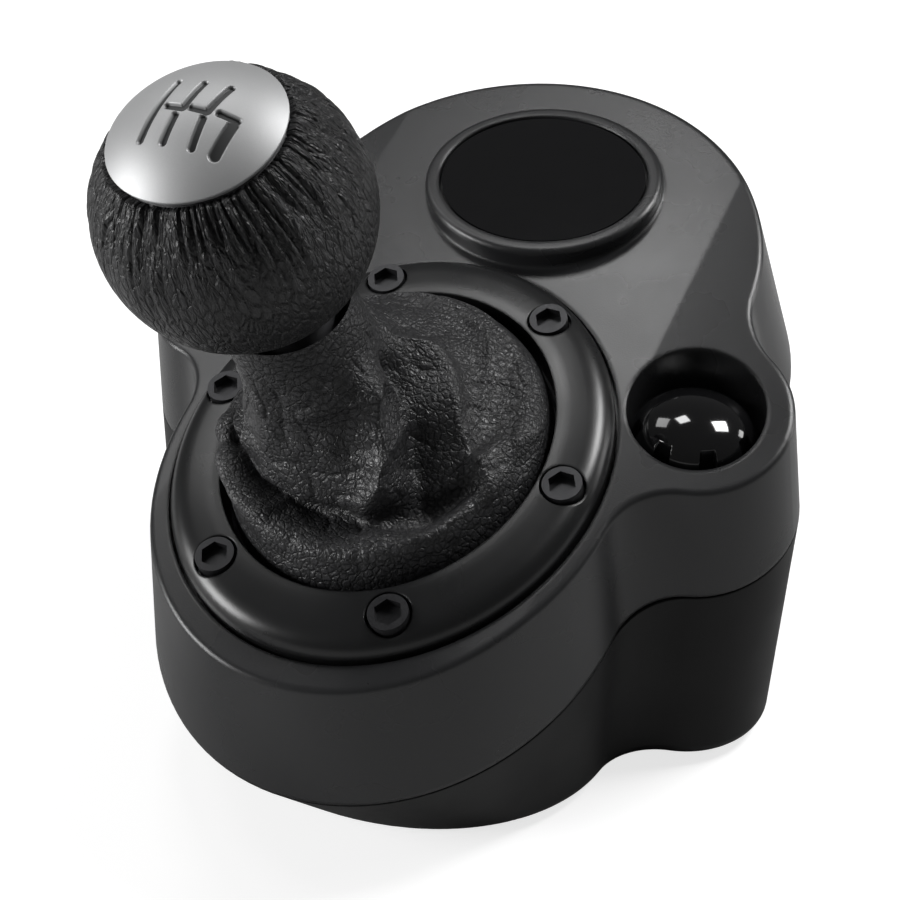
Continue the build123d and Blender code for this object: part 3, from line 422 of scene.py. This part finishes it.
# %% [markdown]
# ## Points on the ball
# The knob is a ball with a round cap on top. The cap isn't quite square to the lever: it leans 5.7
# degrees to the right and 3.4 degrees to the front of the lever's line. Both of the ball's skins
# are drawn about the cap's own axis, as points given by two angles, one down from the middle of
# the cap and one round it.

# %% Axes of the cap
cap_side, cap_front = math.radians(5.7), math.radians(-3.4)
cap_z = lever_z + math.tan(cap_side) * lever_x + math.tan(cap_front) * deck_y
cap_z = cap_z / np.linalg.norm(cap_z)
cap_x = lever_x - (lever_x @ cap_z) * cap_z
cap_x = cap_x / np.linalg.norm(cap_x)
cap_y = np.cross(cap_z, cap_x)
cap_edge = math.radians(40.0)
ball_radius = 24.0


def on_ball(radius, down, away):
    """Point at two angles: (R sin down cos away, R sin down sin away, R cos down)."""
    return np.stack([radius * np.sin(down) * np.cos(away), radius * np.sin(down) * np.sin(away),
                     radius * np.cos(down)], axis=-1)


print("cap axis:", cap_z.round(3))

# %% [markdown]
# ## The ball knob's leather
# The leather is stretched over a ball and gathered under the metal cap, where it bunches into
# dozens of short radial pleats that fade out towards the middle. A second, weaker set of gathers
# shows underneath, near the neck. The surface is a sphere whose radius is lowered along the pleats.
# The grain is pulled long in the same direction, so its pattern reads a stretched copy of the
# place: a cylinder round the ball on which the way down is shortened to under half.

# %% Ball leather
leather_start = math.radians(0.6)  # below the cap's edge
leather_end = math.radians(158.0)  # from the middle of the cap
skin = 0.05  # by which the leather stands proud of the ball
long_depth, short_depth, crackle_depth, tuck_depth = 0.80, 0.30, 0.05, 0.9
sway_width, sway_noise = 0.012, (9, 4, 3)  # a noise has cells round, cells down and a seed
long_noise, short_noise, crackle_noise = (74, 3, 11), (150, 6, 12), (46, 22, 31)
reach_least, reach_spread, reach_noise = 0.20, 0.22, (23, 1, 5)
fade_start, fade_end = 0.35, 1.5  # of a pleat's reach
low_share, low_start, low_end = 0.45, 0.72, 0.95
tuck_end = 0.022
grain_stretch = 0.42


def ball_surface(rows, columns):
    """Sphere of radius R less the pleats, a crackle, and a tuck under the cap's edge.

    Pleats are long crests cubed and short crests squared, times a fade from the top, whose reach
    differs from pleat to pleat, plus a weaker one from the bottom.
    """
    u, v = np.meshgrid(np.arange(columns) / columns, np.linspace(0, 1, rows))
    down = cap_edge + leather_start + v * (leather_end - cap_edge)
    sway = sway_width * (wrap_noise(u, v, *sway_noise) - 0.5)
    long_pleats = ridged(wrap_noise(u + sway, v, *long_noise))
    short_pleats = ridged(wrap_noise(u + sway, v, *short_noise))
    reach = reach_least + reach_spread * wrap_noise(u, v * 0, *reach_noise)
    top_fade = 1 - step(reach * fade_start, reach * fade_end, v)
    low_fade = low_share * step(low_start, low_end, v)
    pleats = long_depth * long_pleats ** 3 + short_depth * short_pleats ** 2
    fold = pleats * (top_fade + low_fade)
    crackle = crackle_depth * ridged(wrap_noise(u, v, *crackle_noise)) ** 4
    tuck = tuck_depth * (1 - step(0.0, tuck_end, v)) ** 2
    return on_ball(ball_radius + skin - fold - crackle - tuck, down, 2 * math.pi * u)


def grain_space(local):
    """Cylinder coordinates: R cos(phi), R sin(phi) and the stretch times R theta, in metres."""
    phi = np.arctan2(local[..., 1], local[..., 0])
    theta = np.arctan2(np.hypot(local[..., 0], local[..., 1]), local[..., 2])
    return np.stack([np.cos(phi), np.sin(phi), grain_stretch * theta], axis=-1) * ball_radius * MM


ball_local = ball_surface(190, 720)[::-1]
ball = grid_mesh("ball_leather", placed(ball_local, ball_centre, cap_x, cap_y, cap_z), ball_finish)
stretched = ball.data.attributes.new("grain_space", "FLOAT_VECTOR", "POINT")
stretched.data.foreach_set("vector", grain_space(ball_local).ravel())
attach(ball, "knob")
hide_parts("knob_leather")

# %% [markdown]
# ## The cap with its shift pattern
# The satin metal cap is a shallow dome with the gate drawn in it as round-ended grooves. A square
# grid is bent into a disc, so cells stay nearly square at the rim, and each point is lowered where
# it lies within half a groove's width of one of the pattern's line segments. The pattern is drawn
# on the dome rolled out flat.

# %% Knob cap
thin, bold = 0.66, 1.0  # half a groove's width
gate_lines = [
    ((-4.6, 5.3), (-4.9, -7.2), thin), ((-3.0, -0.5), (0.0, -0.5), thin),
    ((0.0, -0.5), (0.3, 5.6), thin), ((-0.6, -2.0), (-0.4, -7.1), thin),
    ((1.3, -0.1), (4.2, -0.1), thin), ((4.2, -0.1), (4.9, 6.0), thin),
    ((4.1, -1.4), (4.7, -6.9), thin), ((6.1, 0.3), (9.2, 0.2), thin),
    ((8.9, -0.8), (8.6, -6.8), bold),
]
cap_rise, groove_depth, rim_depth = 0.08, 0.55, 1.1
wall_in, wall_out = 0.22, 0.16  # a groove's wall slants from inside its edge to outside it
rim_start = 0.975  # share of the cap's radius


def disc_grid(count):
    """Bends a square into a disc: x = a sqrt(1 - b^2/2), y = b sqrt(1 - a^2/2)."""
    side = np.linspace(-1, 1, count)
    a, b = np.meshgrid(side, side)
    return a * np.sqrt(1 - b * b / 2), b * np.sqrt(1 - a * a / 2)


def segment_distance(x, y, start, end):
    """Distance from each point to a line segment, by clamping the foot of the perpendicular."""
    (ax, ay), (bx, by) = start, end
    length_squared = (bx - ax) ** 2 + (by - ay) ** 2
    t = np.clip(((x - ax) * (bx - ax) + (y - ay) * (by - ay)) / length_squared, 0, 1)
    return np.hypot(x - ax - t * (bx - ax), y - ay - t * (by - ay))


def cap_surface(count):
    """Dome of the ball's radius, lowered by the grooves and rolled down at the very edge.

    The second result is 1 on a groove's floor, 0 on the bare dome, and between them on its wall.
    """
    dx, dy = disc_grid(count)
    reach = np.hypot(dx, dy)
    down = reach * cap_edge
    away = np.arctan2(dy, dx)
    flat_x, flat_y = ball_radius * down * np.cos(away), ball_radius * down * np.sin(away)
    groove = np.zeros_like(dx)
    for start, end, half in gate_lines:
        gap = segment_distance(flat_x, flat_y, start, end)
        groove = np.maximum(groove, 1 - step(half - wall_in, half + wall_out, gap))
    rim = step(rim_start, 1.0, reach) ** 2
    radius = ball_radius + cap_rise - groove_depth * groove - rim_depth * rim
    return on_ball(radius, down, away), groove


cap_points, cap_groove = cap_surface(300)
cap_placed = placed(cap_points, ball_centre, cap_x, cap_y, cap_z)
cap = grid_mesh("cap_top", cap_placed, cap_finish, wrap=False)
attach(cap, "knob")
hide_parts("knob_cap")

# %% [markdown]
# ## Painted shade in the grooves
# The grooves get painted shade: a dark grey stands in for the shade that falls inside them. A
# second material would need faces cut along their edges. Here each point of the cap keeps how deep
# it lies in a groove as an attribute, and the cap's material reads it to mix the grey of the
# painted shade over the metal's colour.

# %% Painted shade in the grooves
groove_shade_grey = (0.06, 0.061, 0.062)
in_groove = cap.data.attributes.new("groove", "FLOAT", "POINT")
in_groove.data.foreach_set("value", cap_groove.ravel())
cap_tree = cap_finish.node_tree
cap_colour = cap_tree.nodes["Principled BSDF"].inputs["Base Color"]
bare_metal = cap_colour.links[0].from_socket
groove_reader = cap_tree.nodes.new("ShaderNodeAttribute")
groove_reader.attribute_name = "groove"
# Painted shade: a dark grey over the metal where the grooves lie, for the shade inside them.
groove_shaded = tint(cap_tree, groove_reader.outputs["Fac"], groove_shade_grey, groove_shade_grey)
cap_tree.links.new(bare_metal, groove_shaded.node.inputs[6])
cap_tree.links.new(groove_shaded, cap_colour)
print("share of the cap's points in grooves:", round(float(cap_groove.mean()), 3))

# %% [markdown]
# ## Clamp knobs
# Each clamp has a polished domed knob with finger slots round its shoulder. The profile turns about
# the screw's axis, and the slots are places where the radius can't exceed the slot's back wall.

# %% Clamp knob surface
clamp_x, clamp_y = 51.5, -2.542
grip_radius, slot_back = 12.0, 10.6
foot_z, wall_height, shoulder_z, dome_height = 62.05, 6.2, 68.25, 7.7
wall_rows = 0.40  # share of the rows on the straight wall, and the rest are on the dome
slot_count, slot_turn = 8, 0.2
slot_side_start, slot_side_end = 1.45, 1.8
slot_foot_start, slot_foot_end = 63.0, 63.6
arch_top, arch_drop, arch_half, arch_soft = 72.6, 0.9, 1.6, 0.3  # a slot's upper end is an arch


def clamp_knob_surface(rows, columns):
    """Straight wall and quarter ellipse turned about an axis, with r = min(r, back) in a slot."""
    turn = 2 * math.pi * np.arange(columns) / columns
    t = np.linspace(0, 1, rows)
    bend = np.clip((t - wall_rows) / (1 - wall_rows), 0, 1) * math.pi / 2
    profile_r = np.where(t < wall_rows, grip_radius, grip_radius * np.cos(bend))
    profile_z = np.where(t < wall_rows, foot_z + t / wall_rows * wall_height,
                         shoulder_z + dome_height * np.sin(bend))
    r, a = np.meshgrid(profile_r, turn, indexing="ij")
    z, _ = np.meshgrid(profile_z, turn, indexing="ij")
    spacing = 2 * math.pi / slot_count
    off = (a + spacing / 2 + slot_turn) % spacing - spacing / 2
    across = grip_radius * np.abs(off)
    arch = arch_top - arch_drop * (across / arch_half) ** 2
    inside = ((1 - step(slot_side_start, slot_side_end, across))
              * (1 - step(arch - arch_soft, arch + arch_soft, z))
              * step(slot_foot_start, slot_foot_end, z))
    r = r * (1 - inside) + np.minimum(r, slot_back) * inside
    return np.stack([r * np.cos(a), r * np.sin(a), z], axis=-1)


grip_points = clamp_knob_surface(110, 640)
for side, hand in ((-1, "left"), (1, "right")):
    origin = np.array([side * clamp_x, clamp_y, 0.0])
    knob = grid_mesh("grip_" + hand, (grip_points + origin) * MM, knob_finish, cap_first=True)
    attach(knob, "clamp_" + hand)
    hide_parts("clamp_knob_" + hand)

# %% [markdown]
# ## The boot
# The boot is a sewn leather cone that is longer than the gap it fills, so it slumps into folds
# between the bezel and the knob. Its broad shape comes from rings of control radii, one list per
# height, joined by smooth curves. Folds are then laid over it: each is a line through the leather
# with a height and a width, raised for a ridge and lowered for a crease.

# %% Boot control rings
# Each ring: height over the deck, centre x and y, then twelve radii, every 30 degrees from the
# right-hand side towards the back.
boot_rings = [
    (-2.6, 0.0, 0.0, [31.2, 31.9, 33.9, 35.2, 33.9, 31.9, 31.2, 31.9, 33.9, 35.2, 33.9, 31.9]),
    (1.2, 0.0, 0.0, [30.9, 31.6, 33.6, 34.9, 33.6, 31.6, 30.9, 31.6, 33.6, 34.9, 33.6, 31.6]),
    (5.6, 0.0, 0.0, [30.2, 30.6, 32.2, 33.6, 32.4, 30.8, 30.6, 31.0, 32.4, 33.4, 32.0, 30.0]),
    (9.0, -0.6, -0.2, [28.2, 28.6, 30.6, 31.8, 31.0, 29.6, 30.0, 29.4, 28.6, 28.4, 27.4, 26.6]),
    (9.4, -2.0, -0.8, [25.6, 26.4, 28.8, 30.4, 29.2, 27.2, 27.6, 25.0, 22.2, 22.0, 22.8, 23.8]),
    (11.0, -4.0, -1.6, [23.2, 24.0, 26.2, 28.2, 26.8, 23.6, 22.6, 21.6, 21.2, 21.0, 21.0, 21.6]),
    (15.0, -6.2, -2.6, [19.2, 20.4, 22.8, 24.6, 23.2, 19.6, 18.6, 17.8, 17.4, 17.2, 17.4, 18.0]),
    (20.5, -7.8, -3.1, [15.6, 16.6, 18.6, 20.0, 18.8, 16.2, 15.4, 15.0, 14.8, 14.6, 14.8, 15.2]),
    (27.0, -8.8, -3.1, [13.4, 13.6, 14.4, 15.0, 14.4, 13.6, 13.2, 13.0, 12.8, 12.8, 13.0, 13.2]),
    (33.4, -9.6, -3.1, [12.8, 12.8, 13.1, 13.3, 13.1, 12.8, 12.7, 12.6, 12.6, 12.6, 12.6, 12.7]),
    (39.0, -10.3, -3.1, [12.6, 12.6, 12.7, 12.8, 12.7, 12.6, 12.6, 12.6, 12.6, 12.6, 12.6, 12.6]),
    (43.2, -10.9, -3.1, [12.4, 12.4, 12.4, 12.4, 12.4, 12.4, 12.4, 12.4, 12.4, 12.4, 12.4, 12.4]),
]
spokes = 12


def smooth_through(values, places):
    """Catmull-Rom curve through equally spaced values: a span is a cubic set by four of them."""
    values = np.asarray(values, float)
    i = np.clip(np.floor(places).astype(int), 0, len(values) - 2)
    t = (places - i).reshape((-1,) + (1,) * (values.ndim - 1))
    p0, p1 = values[np.maximum(i - 1, 0)], values[i]
    p2, p3 = values[i + 1], values[np.minimum(i + 2, len(values) - 1)]
    return 0.5 * (2 * p1 + (p2 - p0) * t + (2 * p0 - 5 * p1 + 4 * p2 - p3) * t ** 2
                  + (3 * p1 - p0 - 3 * p2 + p3) * t ** 3)


def boot_surface(rows, columns):
    """Control radii joined smoothly, first round each ring and then up through the rings.

    Each ring's list runs on past both of its ends, so that its curve closes without a kink.
    """
    angles = np.linspace(0, spokes, columns, endpoint=False)
    table = []
    for *_, radii in boot_rings:
        looped = np.array(radii[-2:] + radii + radii[:3])
        table.append(smooth_through(looped, angles + 2))
    place = np.linspace(0, len(boot_rings) - 1, rows)
    radius = smooth_through(np.array(table), place)
    spine = smooth_through(np.array([ring[:3] for ring in boot_rings]), place)
    turn = 2 * math.pi * np.arange(columns) / columns
    x = spine[:, 1:2] + radius * np.cos(turn)
    y = spine[:, 2:3] + radius * np.sin(turn)
    z = np.repeat(spine[:, 0:1], columns, axis=1)
    return np.stack([x, y, z], axis=-1)


boot_rows, boot_columns = 186, 480
boot_points = boot_surface(boot_rows, boot_columns)
print("boot points:", boot_rows * boot_columns)

# %% [markdown]
# ## Folds
# A fold follows a short chain of points. Every point of the leather finds its distance to the
# chain, and is pushed along its own normal by height times exp(-(distance / width) ** power): a low
# power gives a sharp crease, and a power of 2 a soft roll.

# %% Boot folds
# Each fold: its chain of points, then its height, its width and its power.
folds = [
    ([(3.2, -6.5, 28.5), (5.8, -10.5, 19.0), (8.0, -16.0, 13.0), (6.5, -18.5, 9.5)], 5.0, 2.6, 1.2),
    ([(6.0, 14.0, 21.0), (11.0, 8.0, 17.0), (15.0, 1.0, 13.5), (22.0, -5.0, 9.5)], 3.2, 3.2, 1.4),
    ([(5.0, 3.0, 24.0), (9.0, -2.5, 18.0), (12.0, -8.5, 12.5), (15.0, -14.0, 9.5)], -3.4, 3.2, 1.8),
    ([(-19.0, -14.0, 9.2), (-12.0, -18.0, 8.6), (-2.0, -20.5, 8.2), (9.0, -21.5, 8.2),
      (17.0, -17.5, 8.4), (23.0, -9.0, 9.0)], -3.3, 2.6, 2.0),
    ([(-28.5, -11.5, 9.5), (-20.0, -23.5, 8.8), (-9.0, -29.5, 8.2), (6.0, -30.0, 8.0),
      (16.0, -26.5, 8.2), (22.0, -19.0, 8.4), (25.0, -9.5, 8.8)], 2.3, 3.2, 2.0),
    ([(-28.0, -5.0, 12.0), (-24.5, -11.0, 11.0), (-20.0, -13.0, 12.0)], 3.4, 2.2, 1.5),
    ([(-26.0, -14.0, 8.0), (-22.5, -13.0, 12.0), (-19.5, -9.0, 15.5)], -2.4, 1.8, 1.5),
    ([(-21.0, -4.0, 27.0), (-20.5, -8.0, 20.0), (-19.0, -11.0, 15.0)], 1.8, 2.4, 1.6),
    ([(-17.0, 24.0, 13.0), (-4.0, 29.5, 13.0), (10.0, 25.0, 12.5), (19.0, 17.0, 11.5)],
     1.6, 4.4, 2.0),
    ([(-12.0, 16.0, 20.0), (0.0, 18.0, 19.0), (9.0, 15.0, 18.0)], -1.4, 2.8, 1.8),
    ([(23.0, 10.0, 12.0), (25.5, 2.0, 10.5), (24.0, -6.0, 9.5)], 1.5, 2.6, 1.7),
    ([(20.0, 12.0, 14.0), (22.0, 4.0, 12.0), (20.5, -2.0, 11.0)], -1.6, 1.8, 1.6),
]


def chain_distance(points, chain):
    """Smallest distance from every point to a chain of straight segments."""
    best = np.full(points.shape[:-1], 1e9)
    for a, b in zip(np.array(chain[:-1]), np.array(chain[1:])):
        span = b - a
        t = np.clip(((points - a) @ span) / (span @ span), 0, 1)
        best = np.minimum(best, np.linalg.norm(points - a - t[..., None] * span, axis=-1))
    return best


def grid_normals(points):
    """Cross product of the steps round and up the grid, made unit length and pointing outwards."""
    around = np.roll(points, -1, axis=1) - np.roll(points, 1, axis=1)
    up = np.gradient(points, axis=0)
    normal = np.cross(around, up)
    return normal / np.maximum(np.linalg.norm(normal, axis=-1, keepdims=True), 1e-9)


normals = grid_normals(boot_points)
push = np.zeros(boot_points.shape[:2])
for chain, height, width, power in folds:
    push += height * np.exp(-(chain_distance(boot_points, chain) / width) ** power)
print("folds, mm out and in:", push.max().round(1), push.min().round(1))

# %% [markdown]
# ## Slumps and creases between the folds
# The folds so far are the ones that the photograph shows. Between them the leather is uneven too,
# so four noises are laid over it: broad crests, rolls, ripples and a web of fine creases. All of
# this fades out at the hem, which lies flat under the bezel, and at the neck, which is tied. Near
# the ring the leather is then held inside the bezel's oval opening, so that it doesn't cut it.

# %% Random folds, and room for the bezel
crest_height, roll_height, ripple_height, crease_depth = 1.7, 1.2, 0.5, 0.45
crest_noise, roll_noise = (9, 6, 44), (13, 7, 41)  # cells round, cells up and a seed
ripple_noise, crease_noise = (31, 17, 42), (24, 15, 43)
crest_twist, crease_twist = 0.05, 0.02  # turns round the boot on the way up
crest_mean, noise_mean = 0.35, 0.5  # taken off, so that the leather goes in as much as out
hem_end, folds_full, folds_less, neck_start = 0.145, 0.27, 0.78, 0.90  # shares of the way up
opening_x, opening_y = 31.4, 35.4  # half the bezel's opening
opening_share, held_below = 0.985, 6.5  # the leather fills this share of it, up to this height

u_grid, v_grid = np.meshgrid(np.arange(boot_columns) / boot_columns, np.linspace(0, 1, boot_rows))
free = step(hem_end, folds_full, v_grid) * (1 - step(folds_less, neck_start, v_grid))
crests = ridged(wrap_noise(u_grid + crest_twist * v_grid, v_grid, *crest_noise)) ** 2
rolls = wrap_noise(u_grid, v_grid, *roll_noise)
fine_ripples = wrap_noise(u_grid, v_grid, *ripple_noise)
creases = ridged(wrap_noise(u_grid + crease_twist * v_grid, v_grid, *crease_noise)) ** 6
push += crest_height * (crests - crest_mean)
push += roll_height * (rolls - noise_mean) + ripple_height * (fine_ripples - noise_mean)
push -= crease_depth * creases
boot_points = boot_points + normals * (push * free)[..., None]

oval = np.hypot(boot_points[..., 0] / opening_x, boot_points[..., 1] / opening_y)
too_wide = (boot_points[..., 2] < held_below) & (oval > opening_share)
hold = np.where(too_wide, opening_share / np.maximum(oval, 1e-6), 1.0)
boot_points[..., :2] *= hold[..., None]
print("boot heights, mm:", boot_points[..., 2].min().round(1), boot_points[..., 2].max().round(1))

# %% [markdown]
# ## The boot in three lengths
# The lever has two hinges and a push, and a piece of fabric may bend across one joint only. The
# boot is three stacked lengths of one surface that share their seams: the skirt, the sleeve and the
# collar. Each length lists the body below it and the body above it, and two points, which are given
# in the ring's own frame, as the folds are.

# %% Cut the boot into three lengths
cut_low, cut_high = 92, 146
lengths = (
    ("boot_skirt", 0, cut_low + 1, "base", "yoke", (0.0, 0.0, 5.0), (-4.8, -2.0, 12.4)),
    ("boot_sleeve", cut_low, cut_high + 1, "yoke", "stick", (-5.6, -2.6, 13.6), (-7.8, -3.1, 21.5)),
    ("boot_collar", cut_high, boot_rows, "stick", "knob", (-9.5, -3.1, 31.0), (-9.9, -3.1, 33.8)),
)
for name, first, last, lower, upper, start, end in lengths:
    strip = placed(boot_points[first:last], ring_centre, deck_x, deck_y, deck_z)
    piece = grid_mesh(name, strip, boot_finish)
    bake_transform(piece)
    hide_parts("boot")
    seam_low, seam_high = boot_points[first, :, 2].mean(), boot_points[last - 1, :, 2].mean()
    print(name, "seam heights:", seam_low.round(1), seam_high.round(1))

# %% [markdown]
# ## Wound springs
# Three springs work out of sight. The solid model has plain tubes for two of them, so all three
# are wound here as a wire that follows a helix. Two are pressed by a joint: the one round the rod
# when the knob is pushed, and the right-hand side spring when the lever swings right. The left-hand
# one is already short at rest, and no joint presses on it further. A spring that a joint presses
# gets a mesh of its own.


# %% Wound springs
steps_a_turn, wire_sides = 40, 12


def wound_wire(turns, coil_radius, wire_radius, length):
    """Centre line (r cos a, r sin a, l a / 2 pi n), with a circle of wire drawn square to it."""
    angle = np.linspace(0, 2 * math.pi * turns, turns * steps_a_turn + 1)
    flat = np.zeros_like(angle)
    radial = np.stack([np.cos(angle), np.sin(angle), flat], axis=-1)
    rise = length / (2 * math.pi * turns)
    line = coil_radius * radial + np.stack([flat, flat, rise * angle], axis=-1)
    along = np.stack([-coil_radius * np.sin(angle), coil_radius * np.cos(angle), flat + rise],
                     axis=-1)
    along /= np.linalg.norm(along, axis=-1, keepdims=True)
    side_way = np.cross(along, radial)
    round_wire = np.linspace(0, 2 * math.pi, wire_sides, endpoint=False)[None, :, None]
    outwards = np.cos(round_wire) * radial[:, None] + np.sin(round_wire) * side_way[:, None]
    return line[:, None] + wire_radius * outwards


# Each spring: its piece, the node that it replaces and its body; turns, coil radius, wire radius
# and length; its foot from the pivot and its axes across and along; the joint that presses on it,
# and the share of its length that is left then.
springs = (
    ("spring_push", "reverse_spring", "stick", 7, 6.3, 0.6, 25.1,
     14.2 * lever_z, (lever_x, lever_z), "knob_push", 0.79),
    ("spring_right", "side_springs", "base", 5, 2.6, 0.4, 11.1,
     16.5 * deck_x - 15.0 * deck_z, (deck_x, deck_z), "select_tilt", 0.58),
    ("spring_left", "side_springs", "base", 4, 2.6, 0.4, 6.6,
     -16.5 * deck_x - 15.0 * deck_z, (deck_x, deck_z), "", 1.0),
)
for name, node, body, turns, coil, wire, length, foot, (x_way, z_way), joint, keep in springs:
    start = pivot + foot
    helix = wound_wire(turns, coil, wire, length)
    wound = placed(helix, start, x_way, np.cross(z_way, x_way), z_way)
    piece = grid_mesh(name, wound, spring_finish, cap_first=True, cap_last=True)
    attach(piece, body)
    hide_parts(node)
    if joint:
        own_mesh(piece)

# %% [markdown]
# ## Floor
# A pale floor catches a soft shadow. It glows only for rays that come straight from the camera, so
# it shows white, while it sends no more light up at the object than its own grey does.

# %% Floor
floor_half, floor_grey, floor_glow = 6, 0.50, 0.74
floor_corners = [(-floor_half, -floor_half, 0), (floor_half, -floor_half, 0),
                 (floor_half, floor_half, 0), (-floor_half, floor_half, 0)]
floor_mesh = bpy.data.meshes.new("floor")
floor_mesh.from_pydata(floor_corners, [], [(0, 1, 2, 3)])
floor = bpy.data.objects.new("floor", floor_mesh)
bpy.context.scene.collection.objects.link(floor)
floor_material, floor_tree, floor_shader = new_material(
    "pale floor", (floor_grey, floor_grey, floor_grey), 0.9, specular=0.1)
floor_shader.inputs["Emission Color"].default_value = (1.0, 1.0, 1.0, 1.0)
rays = floor_tree.nodes.new("ShaderNodeLightPath")
glow = ramp(floor_tree, rays.outputs["Is Camera Ray"], 0.0, floor_glow)
floor_tree.links.new(glow, floor_shader.inputs["Emission Strength"])
floor_mesh.materials.append(floor_material)
print("floor, m:", 2 * floor_half)

# %% [markdown]
# ## Light
# Five soft lamps and a faint sky light the object, and the sky too is white only to the camera. A
# small softbox overhead is mirrored in the deck but not in its wings, which draws the crease
# between them. One further to the left lights the knob's cap. A larger fill stands low on the left
# in front, a softbox high behind the right, and a tall strip low behind the right rims the leather.

# %% Light
sky_dim, sky_white = 0.07, 1.0
world = bpy.data.worlds.new("sky")
bpy.context.scene.world = world
world.use_nodes = True
sky = world.node_tree.nodes["Background"]
sky.inputs["Color"].default_value = (1.0, 1.0, 1.0, 1.0)
sky_rays = world.node_tree.nodes.new("ShaderNodeLightPath")
sky_strength = ramp(world.node_tree, sky_rays.outputs["Is Camera Ray"], sky_dim, sky_white)
world.node_tree.links.new(sky_strength, sky.inputs["Strength"])

# Each lamp: its name, its place, the height over the origin that it faces, its size and its watts.
lamps = (
    ("top softbox", (-0.32, 0.33, 1.16), 0.06, (0.25, 0.25), 1.9),
    ("cap softbox", (-0.76, 0.16, 0.98), 0.10, (0.35, 0.35), 1.3),
    ("left fill", (-0.85, -0.62, 0.34), 0.03, (0.5, 0.4), 9.5),
    ("right softbox", (0.46, 0.52, 1.02), 0.08, (0.35, 0.35), 9.0),
    ("rim strip", (0.90, 0.80, 0.25), 0.05, (0.25, 0.8), 3.0),
)
for name, place, faced_height, size, watts in lamps:
    data = bpy.data.lights.new(name, "AREA")
    data.shape = "RECTANGLE"
    data.size, data.size_y = size
    data.energy = watts
    lamp = bpy.data.objects.new(name, data)
    lamp.location = place
    direction = np.array((0.0, 0.0, faced_height)) - np.array(place)
    lamp.rotation_mode = "QUATERNION"
    lamp.rotation_quaternion = Vector(direction).to_track_quat("-Z", "Y")
    bpy.context.scene.collection.objects.link(lamp)
print("lamps:", len(lamps))

# %% [markdown]
# ## Camera
# The camera stands where the photograph was taken from: to the driver's right, turned 27 degrees to
# the left and looking down 34 degrees. Its place and its lens were fitted until the model's bezel
# ring, screws and knob lay over those of the photograph.

# %% Camera
look_down, look_left = 34.37, 27.17
camera_data = bpy.data.cameras.new("camera")
camera_data.lens = 68.0
camera_data.sensor_width = 36.0
camera_data.clip_start = 0.01
camera = bpy.data.objects.new("camera", camera_data)
camera.location = (0.1340, -0.26608, 0.2508)
camera.rotation_euler = (math.radians(90.0 - look_down), 0.0, math.radians(look_left))
bpy.context.scene.collection.objects.link(camera)
bpy.context.scene.camera = camera
bpy.context.scene.view_settings.view_transform = "Standard"
print("camera height, m:", round(camera.location.z, 3))
